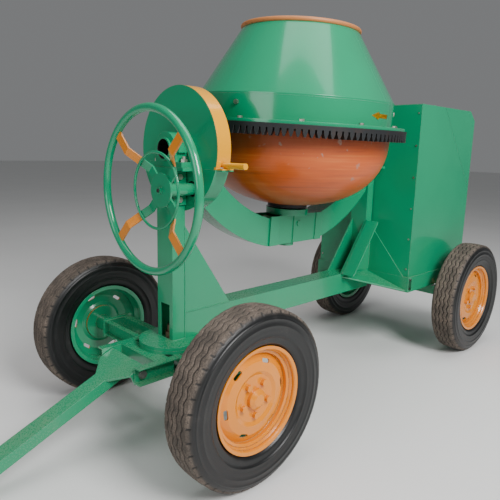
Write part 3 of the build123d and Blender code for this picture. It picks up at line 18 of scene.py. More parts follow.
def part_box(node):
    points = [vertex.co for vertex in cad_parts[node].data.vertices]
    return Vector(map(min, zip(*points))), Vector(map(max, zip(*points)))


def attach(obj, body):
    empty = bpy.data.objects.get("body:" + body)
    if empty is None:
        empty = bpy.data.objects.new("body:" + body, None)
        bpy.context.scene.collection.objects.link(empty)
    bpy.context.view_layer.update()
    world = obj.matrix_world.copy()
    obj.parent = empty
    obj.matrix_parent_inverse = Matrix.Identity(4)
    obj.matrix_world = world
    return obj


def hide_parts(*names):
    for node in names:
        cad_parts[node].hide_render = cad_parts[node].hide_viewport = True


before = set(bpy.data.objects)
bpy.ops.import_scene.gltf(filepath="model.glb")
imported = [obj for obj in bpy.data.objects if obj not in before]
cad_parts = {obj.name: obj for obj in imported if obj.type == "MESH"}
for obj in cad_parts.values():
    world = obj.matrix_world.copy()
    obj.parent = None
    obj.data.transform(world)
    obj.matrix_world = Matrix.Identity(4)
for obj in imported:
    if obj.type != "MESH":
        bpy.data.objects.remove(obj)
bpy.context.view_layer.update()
LOG = logging.getLogger("mixer")

CORNERS = ("front_left", "front_right", "rear_left", "rear_right")
SIDES = (("left", 1), ("right", -1))

Colour = tuple[float, float, float, float]
Point = tuple[float, float, float]


# ---------------------------------------------------------------- shader maths
def linear(red: int, green: int, blue: int) -> Colour:
    """Turn a colour of 0-255 screen values into linear light.

    Args:
        red: Red, from 0 to 255.
        green: Green, from 0 to 255.
        blue: Blue, from 0 to 255.

    Returns:
        The colour as linear red, green, blue and alpha.
    """
    def one(part: int) -> float:
        """Linear value of one channel."""
        share = part / 255
        return share / 12.92 if share <= 0.04045 else ((share + 0.055) / 1.055) ** 2.4

    return (one(red), one(green), one(blue), 1.0)


class Sock:
    """A shader output that Python's operators turn into Math nodes."""

    def __init__(self, shader: "Shader", socket: bpy.types.NodeSocket) -> None:
        """Keep the output and the shader that it belongs to."""
        self.shader = shader
        self.socket = socket
        self.is_vector = socket.type == "VECTOR"

    def _maths(self, operation: str, *values: Any) -> "Sock":
        """One Math node, or a Vector Math node where a vector takes part.

        Args:
            operation: What the node works out.
            *values: Numbers, vectors or other outputs, in order.

        Returns:
            The node's result.
        """
        vector = any(isinstance(v, tuple) or getattr(v, "is_vector", False) for v in values)
        if vector:
            values = tuple((v, v, v) if isinstance(v, (int, float)) else v for v in values)
        kind = "ShaderNodeVectorMath" if vector else "ShaderNodeMath"
        return self.shader.node(kind, {"operation": operation}, dict(enumerate(values)))

    def __add__(self, other: Any) -> "Sock":
        """Sum."""
        return self._maths("ADD", self, other)

    def __radd__(self, other: Any) -> "Sock":
        """Sum, from the right."""
        return self._maths("ADD", other, self)

    def __sub__(self, other: Any) -> "Sock":
        """Difference."""
        return self._maths("SUBTRACT", self, other)

    def __rsub__(self, other: Any) -> "Sock":
        """Difference, from the right."""
        return self._maths("SUBTRACT", other, self)

    def __mul__(self, other: Any) -> "Sock":
        """Product."""
        return self._maths("MULTIPLY", self, other)

    def __rmul__(self, other: Any) -> "Sock":
        """Product, from the right."""
        return self._maths("MULTIPLY", other, self)

    def __pow__(self, power: float) -> "Sock":
        """Power."""
        return self._maths("POWER", self, power)

    def __abs__(self) -> "Sock":
        """Size without its sign."""
        return self._maths("ABSOLUTE", self)

    def fraction(self) -> "Sock":
        """What is left after the whole number."""
        return self._maths("FRACT", self)

    def larger(self, other: Any) -> "Sock":
        """The larger of two values."""
        return self._maths("MAXIMUM", self, other)

    def smaller(self, other: Any) -> "Sock":
        """The smaller of two values."""
        return self._maths("MINIMUM", self, other)

    def part(self, axis: str) -> "Sock":
        """One axis, X, Y or Z, of a vector."""
        return self.shader.node("ShaderNodeSeparateXYZ", {}, {0: self}, axis)

    def step(self, low: float, high: float) -> "Sock":
        """Smooth step.

        Args:
            low: Where the step starts, at 0.
            high: Where it ends, at 1.

        Returns:
            A value from 0 to 1.
        """
        settings = {"interpolation_type": "SMOOTHSTEP"}
        falling = low > high
        ends = (high, low) if falling else (low, high)
        sockets = {"Value": self, "From Min": ends[0], "From Max": ends[1]}
        made = self.shader.node("ShaderNodeMapRange", settings, sockets)
        return 1.0 - made if falling else made


class Shader:
    """A material under construction: its tree, its coordinates and its surface."""

    def __init__(self, name: str) -> None:
        """Start an empty material of that name."""
        self.material = bpy.data.materials.new(name)
        self.material.use_nodes = True
        self.tree = self.material.node_tree
        self.tree.nodes.clear()
        self.place = self.node("ShaderNodeTexCoord", {}, {}, "Object")

    def node(self, kind: str, settings: dict[str, Any], sockets: dict[Any, Any], out: Any = 0) -> Sock:
        """Add any node.

        Args:
            kind: The node's type.
            settings: Its properties, and "stops" for a ramp's colours, set first.
            sockets: Values or links for its inputs, by name or number.
            out: The output wanted, by name or number.

        Returns:
            That output.
        """
        made = self.tree.nodes.new(kind)
        for key, value in settings.items():
            if key == "stops":
                for number, (where, colour) in enumerate(value):
                    old = made.color_ramp.elements
                    stop = old[number] if number < len(old) else old.new(where)
                    stop.position = where
                    stop.color = colour
            else:
                setattr(made, key, value)
        for key, value in sockets.items():
            if isinstance(value, Sock):
                self.tree.links.new(value.socket, made.inputs[key])
            else:
                made.inputs[key].default_value = value
        return Sock(self, made.outputs[out])

    def noise(self, scale: float, detail: float = 3.0, stretch: Point = (1, 1, 1)) -> Sock:
        """Fractal noise from 0 to 1.

        Args:
            scale: Features to the metre.
            detail: Octaves.
            stretch: Factors on the axes.

        Returns:
            The noise.
        """
        where = self.place if stretch == (1, 1, 1) else self.place * stretch
        return self.node("ShaderNodeTexNoise", {}, {"Vector": where, "Scale": scale, "Detail": detail})

    def cell_edges(self, scale: float) -> Sock:
        """Distance to the nearest edge of Voronoi cells."""
        sockets = {"Vector": self.place, "Scale": scale}
        return self.node("ShaderNodeTexVoronoi", {"feature": "DISTANCE_TO_EDGE"}, sockets, "Distance")

    def from_axis(self, y: float, z: float) -> Sock:
        """Distance from a line that runs along X at that Y and Z."""
        side, high = self.place.part("Y") - y, self.place.part("Z") - z
        return (side ** 2.0 + high ** 2.0) ** 0.5

    def attribute(self, name: str) -> Sock:
        """A value kept in the mesh under that name."""
        return self.node("ShaderNodeAttribute", {"attribute_name": name}, {}, "Fac")

    def mix(self, one: Any, other: Any, share: Any) -> Sock:
        """Blend two colours."""
        return self.node("ShaderNodeMix", {"data_type": "RGBA"}, {0: share, 6: one, 7: other}, 2)

    def facing(self) -> Sock:
        """The surface's own normal."""
        return self.node("ShaderNodeNewGeometry", {}, {}, "Normal")

    def rounded(self, radius: float) -> Sock:
        """The normal as it would be with the edges rounded to a radius."""
        return self.node("ShaderNodeBevel", {"samples": 4}, {"Radius": radius})

    def edge(self, rounded: Sock) -> Sock:
        """How sharply the surface turns here, from 0 on a flat."""
        settings = {"operation": "DOT_PRODUCT"}
        return 1.0 - self.node("ShaderNodeVectorMath", settings, {0: rounded, 1: self.facing()}, "Value")

    def bump(self, height: Sock, distance: float, normal: Sock | None = None) -> Sock:
        """A normal bent by a height field.

        Args:
            height: The field.
            distance: How many metres one unit of it stands for.
            normal: The normal to bend, or None for the surface's own.

        Returns:
            The bent normal.
        """
        sockets = {"Height": height, "Distance": distance, "Strength": 1.0}
        if normal is not None:
            sockets["Normal"] = normal
        return self.node("ShaderNodeBump", {}, sockets)

    def surface(self, **sockets: Any) -> bpy.types.Material:
        """Close the material with a Principled surface.

        Args:
            **sockets: Its inputs, with underscores for the spaces in their names.

        Returns:
            The finished material.
        """
        named = {key.replace("_", " "): value for key, value in sockets.items()}
        shade = self.node("ShaderNodeBsdfPrincipled", {}, named)
        self.node_output(shade)
        return self.material

    def node_output(self, shade: Sock) -> None:
        """Link a surface to the material's output."""
        made = self.tree.nodes.new("ShaderNodeOutputMaterial")
        self.tree.links.new(shade.socket, made.inputs["Surface"])


# ---------------------------------------------------------------- measured from the frame
@dataclass(frozen=True)
class GearGuard:
    """The round gear guard on the front post."""

    radius: float
    axis_z: float
    split_z: float

    @classmethod
    def measured(cls) -> "GearGuard":
        """The guard as the frame has it."""
        low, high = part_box("guard_upper")
        radius = (high.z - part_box("guard_lower")[0].z) / 2
        return cls(radius, high.z - radius, low.z)


@dataclass(frozen=True)
class Handwheel:
    """The big handwheel that tilts the drum; its spokes are orange outside a small inner ring."""

    axis_y: float
    axis_z: float
    orange_from: float = 0.168

    @classmethod
    def measured(cls) -> "Handwheel":
        """The handwheel as the frame has it."""
        low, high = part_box("handwheel_rim")
        return cls((low.y + high.y) / 2, (low.z + high.z) / 2)


@dataclass(frozen=True)
class Drum:
    """The tilting drum: its own axis, which leans, and the hollow pipes it tilts on."""

    axis_x: float
    tilt_z: float
    bore_r: float
    lean: float = math.radians(2.93)

    PIPE_WALL = 0.008

    @classmethod
    def measured(cls) -> "Drum":
        """The drum as the frame has it."""
        low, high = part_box("drum_bowl")
        pipe_low, pipe_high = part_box("trunnion_pipes")
        return cls(axis_x=(low.x + high.x) / 2, tilt_z=(pipe_low.z + pipe_high.z) / 2,
                   bore_r=(pipe_high.y - pipe_low.y) / 2 - cls.PIPE_WALL)

    def point(self, radius: float, turn: float, height: float) -> Vector:
        """A place on the leaning drum.

        Args:
            radius: Distance from the drum's own axis.
            turn: Degrees round it, from +X towards +Y.
            height: Height along the axis, measured as if the drum stood upright.

        Returns:
            The place in the frame's axes.
        """
        angle = math.radians(turn)
        side, rise = radius * math.sin(angle), height - self.tilt_z
        return Vector((self.axis_x + radius * math.cos(angle),
                       side * math.cos(self.lean) + rise * math.sin(self.lean),
                       self.tilt_z + rise * math.cos(self.lean) - side * math.sin(self.lean)))


GUARD = GearGuard.measured()
HANDWHEEL = Handwheel.measured()
DRUM = Drum.measured()


# ---------------------------------------------------------------- finishes
BLACK = (0.0, 0.0, 0.0, 1.0)
WHITE = (1.0, 1.0, 1.0, 1.0)
DUST = linear(176, 158, 134)
PRIMER = linear(74, 62, 54)


class Split(Enum):
    """Where a two-colour piece changes from one enamel to the other."""

    NONE = "one colour"
    WHEEL_FACE = "outside of a wheel against its inside"
    GUARD_BAND = "round band of the guard against its flat face"
    SPOKE_RING = "spokes outside the inner ring against the rest"
    PIPE_BORE = "outside of the trunnion pipes against their bores"


@dataclass(frozen=True)
class Enamel:
    """Sprayed gloss enamel on steel, with orange peel, dust, chips, worn edges and a painted highlight along
    the edges.

    The pairs below are distances in metres over which one colour gives way to the other.
    """

    name: str
    colour: Colour
    roughness: float = 0.2
    dust: float = 0.25
    ripple: float = 0.0006
    edge_radius: float = 0.0025
    chips: float = 0.5
    coat: float = 0.35
    other: Colour | None = None
    split: Split = Split.NONE
    split_at: float = 0.0

    BAND_DEPTH = (0.006, 0.003)
    LUG_HEIGHT = (0.012, 0.010)
    LUG_DEPTH = (0.012, 0.008)
    BORE_EDGE = (0.0015, 0.0005)
    RING_EDGE = 0.001
    RELIEF = 0.001

    def _wheel_inside(self, shader: Shader) -> Sock:
        """Share of a wheel's inner side, from its place and from where its faces look."""
        side = shader.place.part("Y")
        outwards = abs(side) - self.split_at
        looking = shader.facing().part("Y") * side
        return (outwards * 40.0 + looking * 3.0).step(0.7, 0.3)

    def _guard_band(self, shader: Shader) -> Sock:
        """Share of the guard's round band and of the lugs at its lower edge."""
        out = shader.from_axis(0.0, GUARD.axis_z)
        band_from, band_to = (self.split_at - depth for depth in self.BAND_DEPTH)
        lug_from, lug_to = (self.split_at - depth for depth in self.LUG_DEPTH)
        lug_high, lug_low = (GUARD.split_z + height for height in self.LUG_HEIGHT)
        band = abs(shader.facing().part("X")).step(0.6, 0.4) * out.step(band_from, band_to)
        lug = shader.place.part("Z").step(lug_high, lug_low)
        return band.larger(lug * out.step(lug_from, lug_to))

    def _pipe_bore(self, shader: Shader) -> Sock:
        """Share of the bores of the trunnion pipes, which get painted shade."""
        outside, inside = (self.split_at + edge for edge in self.BORE_EDGE)
        # Painted shade: the bores are given a near-black colour.
        return shader.from_axis(0.0, DRUM.tilt_z).step(outside, inside)

    def _outer_spokes(self, shader: Shader) -> Sock:
        """Share of the handwheel outside its inner ring."""
        out = shader.from_axis(HANDWHEEL.axis_y, HANDWHEEL.axis_z)
        return out.step(self.split_at, self.split_at + self.RING_EDGE)

    def second_share(self, shader: Shader) -> Sock:
        """Share of the second colour at each point.

        Args:
            shader: The material being made.

        Returns:
            A value from 0 to 1.
        """
        shares = {Split.WHEEL_FACE: self._wheel_inside, Split.GUARD_BAND: self._guard_band,
                  Split.PIPE_BORE: self._pipe_bore, Split.SPOKE_RING: self._outer_spokes}
        return shares[self.split](shader)

    def build(self) -> bpy.types.Material:
        """Make the material.

        Returns:
            The finished enamel.
        """
        shader = Shader(self.name)
        colour: Any = self.colour
        if self.other is not None:
            colour = shader.mix(self.colour, self.other, self.second_share(shader))
        cloud = shader.noise(2.3, 4.0)
        streak = shader.noise(9.0, 5.0, (1.0, 1.0, 0.12))
        speck = shader.noise(160.0, 2.0)
        peel = shader.noise(520.0, 1.0)
        wave = shader.noise(5.0, 1.0)
        rounded = shader.rounded(self.edge_radius)
        edge = shader.edge(rounded)
        shade = shader.mix(colour, BLACK, cloud.step(0.35, 0.75) * 0.10)
        # Painted highlight: a speckled white line along the edges, standing in for light caught by the
        # rounded paint.
        light = shader.mix(shade, WHITE, edge.step(0.02, 0.30) * speck.step(0.3, 0.6) * 0.22)
        upward = shader.facing().part("Z").step(0.2, 0.95)
        low = shader.place.part("Z").step(0.9, 0.25)
        film = (upward * 0.6 + low * 0.4) * cloud.step(0.3, 0.7) * speck.step(0.25, 0.75)
        runs = streak.step(0.52, 0.78) * 0.35
        dusty = shader.mix(light, DUST, (film + runs * low) * self.dust)
        worn = edge.step(0.04, 0.2) * shader.noise(38.0, 4.0).step(0.60, 0.66) * self.chips
        flecks = shader.noise(75.0, 3.0).step(0.765, 0.79) * self.chips
        bare = worn.larger(flecks)
        height = wave * (self.ripple / self.RELIEF) + peel * 0.04 - bare * 0.1
        return shader.surface(
            Base_Color=shader.mix(dusty, PRIMER, bare),
            Roughness=self.roughness + film * 0.7 * self.dust + bare * 0.4 + speck * 0.05,
            Coat_Weight=self.coat * (1.0 - bare),
            Coat_Roughness=0.06,
            Normal=shader.bump(height, self.RELIEF, rounded),
        )


@dataclass(frozen=True)
class BowlEnamel:
    """Brush-painted bowl: level brush streaks, painted shade under the gear and round its foot."""

    name: str
    colour: Colour
    gear_z: float
    foot_z: float
    pale: Colour = linear(214, 122, 52)
    deep: Colour = linear(128, 44, 16)
    painted_shade_colour: Colour = linear(66, 30, 26)
    cement: Colour = linear(150, 140, 128)
    under_gear: tuple[float, float] = (0.10, 0.01)
    round_foot: float = 0.14

    def build(self) -> bpy.types.Material:
        """Make the material.

        Returns:
            The finished bowl enamel.
        """
        shader = Shader(self.name)
        high = shader.place.part("Z")
        brush = shader.noise(10.0, 5.0, (0.35, 0.35, 9.0))
        cloud = shader.noise(3.4, 4.0)
        speck = shader.noise(130.0, 3.0)
        rounded = shader.rounded(0.002)
        bright = shader.mix(self.colour, self.pale, brush.step(0.5, 0.8) * 0.55)
        streaked = shader.mix(bright, self.deep, brush.step(0.5, 0.2) * 0.5)
        # Painted shade: the bowl is darkened just under the overhanging ring gear and towards its foot.
        far, near = (self.gear_z - drop for drop in self.under_gear)
        painted_shade = high.step(far, near) * 0.55 + high.step(self.foot_z + self.round_foot, self.foot_z) * 0.5
        shaded_bowl = shader.mix(streaked, self.painted_shade_colour, painted_shade.smaller(1.0) * (0.45 + cloud * 0.8))
        splash = shader.noise(28.0, 5.0).step(0.66, 0.72) * cloud.step(0.45, 0.6)
        specks = speck.step(0.74, 0.78) * 0.4
        return shader.surface(
            Base_Color=shader.mix(shaded_bowl, self.cement, splash * 0.6 + specks),
            Roughness=0.30 + brush * 0.15 + painted_shade * 0.15 + splash * 0.4,
            Coat_Weight=0.2 - painted_shade * 0.1,
            Normal=shader.bump(brush * 0.7 + speck * 0.2 + splash, 0.0006, rounded),
        )


@dataclass(frozen=True)
class Iron:
    """Dark cast iron with a sandy skin, greasy hollows and bright rubbed edges, their lighter colour partly
    a painted highlight.
    """

    name: str
    colour: Colour
    rust: float = 0.3
    shine: float = 0.5
    rust_colour: Colour = linear(112, 66, 38)
    rubbed_and_highlight: Colour = linear(150, 150, 148)

    def build(self) -> bpy.types.Material:
        """Make the material.

        Returns:
            The finished iron.
        """
        shader = Shader(self.name)
        grain = shader.noise(240.0, 3.0)
        cloud = shader.noise(11.0, 4.0)
        rounded = shader.rounded(0.0015)
        edge = shader.edge(rounded).step(0.02, 0.25)
        rusty = cloud.step(0.5, 0.75) * grain.step(0.3, 0.7) * self.rust
        base = shader.mix(self.colour, self.rust_colour, rusty)
        # Lighter edges: rubbed metal, and partly a painted highlight along the edges.
        return shader.surface(
            Base_Color=shader.mix(base, self.rubbed_and_highlight, edge * 0.55),
            Metallic=0.55 + edge * 0.4,
            Roughness=0.62 - edge * 0.25 - cloud * 0.12 * self.shine,
            Normal=shader.bump(grain, 0.0004, rounded),
        )


@dataclass(frozen=True)
class Steel:
    """Turned or rolled bare steel with fine tool marks, stain and a little rust."""

    name: str
    colour: Colour
    roughness: float = 0.34
    rust: float = 0.2
    rust_colour: Colour = linear(126, 70, 34)
    grime: Colour = (0.02, 0.02, 0.02, 1.0)

    def build(self) -> bpy.types.Material:
        """Make the material.

        Returns:
            The finished steel.
        """
        shader = Shader(self.name)
        marks = shader.noise(30.0, 2.0, (22.0, 1.0, 1.0))
        stain = shader.noise(26.0, 4.0)
        spots = shader.noise(95.0, 3.0)
        rounded = shader.rounded(0.001)
        rusty = stain.step(0.5, 0.72) * spots.step(0.4, 0.62) * self.rust
        base = shader.mix(self.colour, self.rust_colour, rusty)
        return shader.surface(
            Base_Color=shader.mix(base, self.grime, spots.step(0.45, 0.7) * 0.3),
            Metallic=1.0 - rusty,
            Roughness=self.roughness + stain * 0.2 + rusty * 0.4,
            Normal=shader.bump(marks + spots * 0.5, 0.0002, rounded),
        )


@dataclass(frozen=True)
class Rubber:
    """Moulded rubber: satin black, with grey bloom and dust in its texture."""

    name: str
    colour: Colour
    dust: float = 0.3

    def build(self) -> bpy.types.Material:
        """Make the material.

        Returns:
            The finished rubber.
        """
        shader = Shader(self.name)
        grain = shader.noise(300.0, 3.0)
        cloud = shader.noise(14.0, 4.0)
        return shader.surface(
            Base_Color=shader.mix(self.colour, DUST, cloud.step(0.35, 0.8) * self.dust),
            Roughness=0.55 + cloud * 0.25,
            Normal=shader.bump(grain, 0.0003),
        )


@dataclass(frozen=True)
class TyreRubber:
    """Tyre rubber: a dry dusty tread over grooves darkened with painted shade, and wiped black sidewalls."""

    name: str = "tyre_rubber"
    low_dust: Colour = linear(84, 75, 67)
    high_dust: Colour = linear(118, 105, 94)
    grit: Colour = linear(66, 58, 52)
    cut_colour: Colour = linear(24, 21, 20)
    wall_colour: Colour = linear(14, 15, 16)
    scuff_colour: Colour = linear(74, 71, 68)
    pit_shade_colour: Colour = linear(14, 13, 12)
    sipes: float = 84.0
    sipe_slant: float = 90.0

    def build(self) -> bpy.types.Material:
        """Make the material from the values that the tyre's mesh keeps.

        Returns:
            The finished tyre rubber.
        """
        shader = Shader(self.name)
        top = shader.attribute("tread_top")
        pits = shader.attribute("pit")
        across = shader.attribute("across")
        around = shader.attribute("around")
        cloud = shader.noise(16.0, 4.0)
        grain = shader.noise(210.0, 4.0)
        fine = shader.noise(700.0, 2.0)
        cracks = shader.cell_edges(75.0).step(0.05, 0.015)
        slanted = (around * self.sipes + across * self.sipe_slant).fraction()
        sipe = abs(slanted - 0.5).step(0.05, 0.015)
        cut = (cracks * 0.55).larger(sipe * 0.7) * top
        dust = shader.mix(self.low_dust, self.high_dust, cloud.step(0.3, 0.7))
        tread = shader.mix(dust, self.grit, grain.step(0.45, 0.7) * 0.8)
        worn = shader.mix(tread, self.cut_colour, cut)
        scuff = cloud.step(0.52, 0.8) * grain.step(0.35, 0.7) * 0.4
        wall = shader.mix(self.wall_colour, self.scuff_colour, scuff)
        colour = shader.mix(wall, worn, top)
        # Painted shade: groove floors and shoulder marks are darkened to near black.
        dark = shader.mix(colour, self.pit_shade_colour, pits)
        return shader.surface(
            Base_Color=dark,
            Roughness=0.28 + top * 0.5 + pits * 0.2 + grain * 0.08 + cloud * 0.12,
            Normal=shader.bump(grain * 0.6 + fine * 0.3 - cut * 1.6, 0.0006),
        )


@dataclass(frozen=True)
class Plain:
    """The pale matt floor under the machine."""

    name: str = "pale_floor"
    light: Colour = (0.80, 0.80, 0.79, 1.0)
    dark: Colour = (0.74, 0.74, 0.73, 1.0)

    def build(self) -> bpy.types.Material:
        """Make the material.

        Returns:
            The finished floor.
        """
        shader = Shader(self.name)
        cloud = shader.noise(1.2, 5.0)
        return shader.surface(
            Base_Color=shader.mix(self.light, self.dark, cloud),
            Roughness=0.9,
            Normal=shader.bump(shader.noise(60.0, 4.0), 0.0004),
        )


GREEN = linear(0, 146, 100)
ORANGE = linear(226, 134, 0)
YELLOW_ORANGE = linear(236, 162, 0)
DULL_ORANGE = linear(196, 84, 10)
# Near-black painted shade for the bores of the trunnion pipes.
BORE_SHADE = linear(26, 24, 24)


class Paints:
    """Every finish of the machine, each built once and kept by name."""

    def __init__(self) -> None:
        """Build the finishes."""
        gear_z, foot_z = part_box("ring_gear")[0].z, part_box("drum_bowl")[0].z
        finishes = [
            Enamel("green_enamel", GREEN),
            Enamel("green_panel", GREEN, ripple=0.0012, chips=0.25, dust=0.18),
            Enamel("green_drum", GREEN, roughness=0.16, ripple=0.0010, chips=0.2, dust=0.12, coat=0.5),
            Enamel("handwheel_green", GREEN, roughness=0.14, dust=0.05, coat=0.6, chips=0.3),
            Enamel("orange_enamel", YELLOW_ORANGE, dust=0.1),
            BowlEnamel("drum_orange", DULL_ORANGE, gear_z, foot_z),
            Enamel("trunnion_green", GREEN, other=BORE_SHADE, split=Split.PIPE_BORE, split_at=DRUM.bore_r),
            Enamel("sticker_yellow", linear(255, 196, 0), roughness=0.3, dust=0.1, chips=0.3, coat=0.1),
            Enamel("weld_bead", GREEN, roughness=0.26, dust=0.4, ripple=0.0, coat=0.2),
            Enamel("mouth_orange", linear(190, 120, 66), roughness=0.45, dust=0.6, coat=0.0),
            Enamel("guard_two_tone", GREEN, other=YELLOW_ORANGE, split=Split.GUARD_BAND,
                   split_at=GUARD.radius),
            Enamel("spoke_two_tone", GREEN, other=ORANGE, split=Split.SPOKE_RING,
                   split_at=HANDWHEEL.orange_from, dust=0.05),
            Iron("gear_iron", linear(44, 46, 48)),
            Iron("engine_iron", linear(40, 52, 74), rust=0.15),
            Iron("silencer_iron", linear(58, 44, 36), rust=0.8),
            Steel("bare_steel", linear(150, 150, 148)),
            Steel("rusty_steel", linear(120, 100, 84), rust=0.8, roughness=0.5),
            Steel("zinc_bolts", linear(190, 188, 176), roughness=0.28, rust=0.1),
            Steel("cast_fins", linear(158, 160, 160), roughness=0.5, rust=0.0),
            Rubber("belt_rubber", linear(22, 22, 24)),
            TyreRubber(),
            Plain(),
        ]
        finishes += [Enamel(f"rim_{axle}", ORANGE, roughness=0.2, dust=0.12, coat=0.3, other=GREEN,
                            split=Split.WHEEL_FACE, split_at=Wheels.half_track(axle))
                     for axle in ("front", "rear")]
        self.made = {finish.name: finish.build() for finish in finishes}

    def __getitem__(self, name: str) -> bpy.types.Material:
        """The finish of that name."""
        return self.made[name]

    def dress(self, finish: str, nodes: Iterable[str]) -> None:
        """Give CAD nodes a finish.

        Args:
            finish: Name of the finish.
            nodes: Names of the nodes.
        """
        for name in nodes:
            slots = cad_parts[name].data.materials
            slots.clear()
            slots.append(self.made[finish])
            LOG.info("%s wears %s", name, finish)


# ---------------------------------------------------------------- mesh helpers
def piece_from(name: str, mesh: bpy.types.Mesh, finish: bpy.types.Material,
               smooth: bool = True) -> bpy.types.Object:
    """Put a mesh in the scene as a piece.

    Args:
        name: The piece's name.
        mesh: Its mesh, already in place.
        finish: Its material.
        smooth: Whether its faces shade smoothly.

    Returns:
        The new object, at the origin.
    """
    mesh.name = name
    mesh.materials.clear()
    mesh.materials.append(finish)
    if smooth:
        mesh.shade_smooth()
    made = bpy.data.objects.new(name, mesh)
    bpy.context.scene.collection.objects.link(made)
    return made


def ring_mesh(rings: Sequence[Sequence[Vector]]) -> bpy.types.Mesh:
    """Skin a closed loop of closed rings with quads.

    Args:
        rings: One list of points for each step round, all of one length.

    Returns:
        The mesh, with its faces outwards.
    """
    count, width = len(rings), len(rings[0])
    points = [point for ring in rings for point in ring]
    faces = []
    for i in range(count):
        after = (i + 1) % count
        for k in range(width):
            side = (k + 1) % width
            faces.append((i * width + k, after * width + k, after * width + side, i * width + side))
    mesh = bpy.data.meshes.new("ring")
    mesh.from_pydata([tuple(p) for p in points], [], faces)
    tidy = bmesh.new()
    tidy.from_mesh(mesh)
    bmesh.ops.recalc_face_normals(tidy, faces=tidy.faces)
    tidy.to_mesh(mesh)
    tidy.free()
    return mesh


# ---------------------------------------------------------------- wheels
@dataclass(frozen=True)
class TyreShape:
    """Section of a tyre with four zigzag grooves, in metres.

    A point of the section is its place across the tyre, its radius, how much of the zigzag
    it follows and how much of it is the top of the tread.
    """

    radius: float
    half_width: float
    groove_pitch: float = 0.026
    groove_width: float = 0.0058
    groove_depth: float = 0.0085
    groove_lip: float = 0.0008
    groove_margin: float = 0.004
    zigzag: float = 0.0052
    zigzag_tip: float = 0.96
    periods: int = 42
    steps: int = 10
    edge_rib: tuple[float, float] = (0.0525, 0.058)
    edge_zigzag: float = 0.35
    edge_drop: float = 0.0006
    tread_half: float = 0.062
    crown: float = 0.004
    crowned_from: float = 0.356
    mark_step: int = 3
    mark_depth: float = 0.005
    mark_inset: float = 0.003
    mark_reach: float = 0.0712
    marked_from: float = 0.34
    pit_margin: float = 0.001
    bead_radius: float = 0.2085
    bead_half: float = 0.050
    bead_chamfer: float = 0.004
    drawn_radius: float = 0.3675

    def tread_points(self) -> list[tuple[float, float, float, float]]:
        """Half of the tread from its middle outwards.

        Returns:
            The points of the section.
        """
        lip, floor = self.radius - self.groove_lip, self.radius - self.groove_depth
        points = [(0.0, self.radius, 1.0, 1.0)]
        for number in range(2):
            middle = self.groove_pitch * (number + 0.5)
            near, far = middle - self.groove_width / 2, middle + self.groove_width / 2
            points += [
                (near - self.groove_margin, self.radius, 1.0, 1.0), (near, lip, 1.0, 1.0),
                (near + self.groove_lip, floor, 1.0, 0.0), (far - self.groove_lip, floor, 1.0, 0.0),
                (far, lip, 1.0, 1.0), (far + self.groove_margin, self.radius, 1.0, 1.0),
            ]
        rib_near, rib_far = self.edge_rib
        points += [(rib_near, self.radius, self.edge_zigzag, 1.0), (rib_far, self.radius, 0.0, 1.0),
                   (self.tread_half, self.radius - self.edge_drop, 0.0, 1.0)]
        return points

    def wall_points(self) -> list[tuple[float, float, float, float]]:
        """Half of the sidewall from the shoulder in to the bead, with its raised rings.

        Returns:
            The points of the section, scaled from the tyre that they were drawn for.
        """
        wall = self.half_width
        shoulder = [(0.0655, 0.3620, 0.9), (0.0685, 0.3575, 0.55),
                    (0.0705, 0.3520, 0.25), (0.0722, 0.3475, 0.1)]
        outline = [
            (0.0750, 0.3440), (0.0768, 0.3380), (0.0772, 0.3340), (0.0800, 0.3325), (0.0806, 0.3290),
            (0.0792, 0.3270), (0.0806, 0.3180), (wall - 0.0012, 0.3080), (wall, 0.3050), (wall, 0.3020),
            (wall - 0.0018, 0.3000), (wall - 0.0016, 0.2880), (0.0800, 0.2760), (0.0780, 0.2660),
            (0.0786, 0.2640), (0.0778, 0.2610), (0.0740, 0.2590), (0.0705, 0.2500), (0.0690, 0.2400),
            (0.0672, 0.2330), (0.0640, 0.2290), (0.0600, 0.2255), (0.0545, 0.2215), (self.bead_half, 0.2150),
            (self.bead_half - self.bead_chamfer, self.bead_radius),
        ]
        drawn = shoulder + [(across, radius, 0.0) for across, radius in outline]
        scale = self.radius / self.drawn_radius
        return [(across, radius * scale, 0.0, top) for across, radius, top in drawn]

    def section(self) -> list[tuple[float, float, float, float]]:
        """The whole closed section, bead to bead over the tread and back inside.

        Returns:
            The points of the section.
        """
        half = self.tread_points() + self.wall_points()
        mirrored = [(-across, radius, zig, top) for across, radius, zig, top in half[1:]]
        inner = [(0.034, 0.216, 0.0, 0.0), (0.060, 0.270, 0.0, 0.0), (0.0, 0.340, 0.0, 0.0),
                 (-0.060, 0.270, 0.0, 0.0), (-0.034, 0.216, 0.0, 0.0)]
        return mirrored[::-1] + half + inner

    def sway(self, step: int) -> float:
        """Sideways place of the grooves at an angular step: a triangle wave with soft tips."""
        turn = 2 * math.pi * step / self.steps
        return self.zigzag * math.asin(self.zigzag_tip * math.sin(turn)) / math.asin(self.zigzag_tip)

    def crowned(self, across: float, radius: float) -> float:
        """Radius of a point once the tread is rounded across."""
        return radius - (self.crown * (across / self.tread_half) ** 2 if radius > self.crowned_from else 0.0)

    def in_mark(self, step: int, across: float, radius: float) -> bool:
        """Whether a point lies in one of the short marks round the shoulder."""
        on_shoulder = self.tread_half - self.mark_inset < abs(across) < self.mark_reach
        return step % self.steps == self.mark_step and on_shoulder and radius > self.marked_from

    def in_groove(self, radius: float, top: float) -> bool:
        """Whether a point lies on the floor of a groove."""
        return top == 0.0 and radius > self.radius - self.groove_depth - self.pit_margin


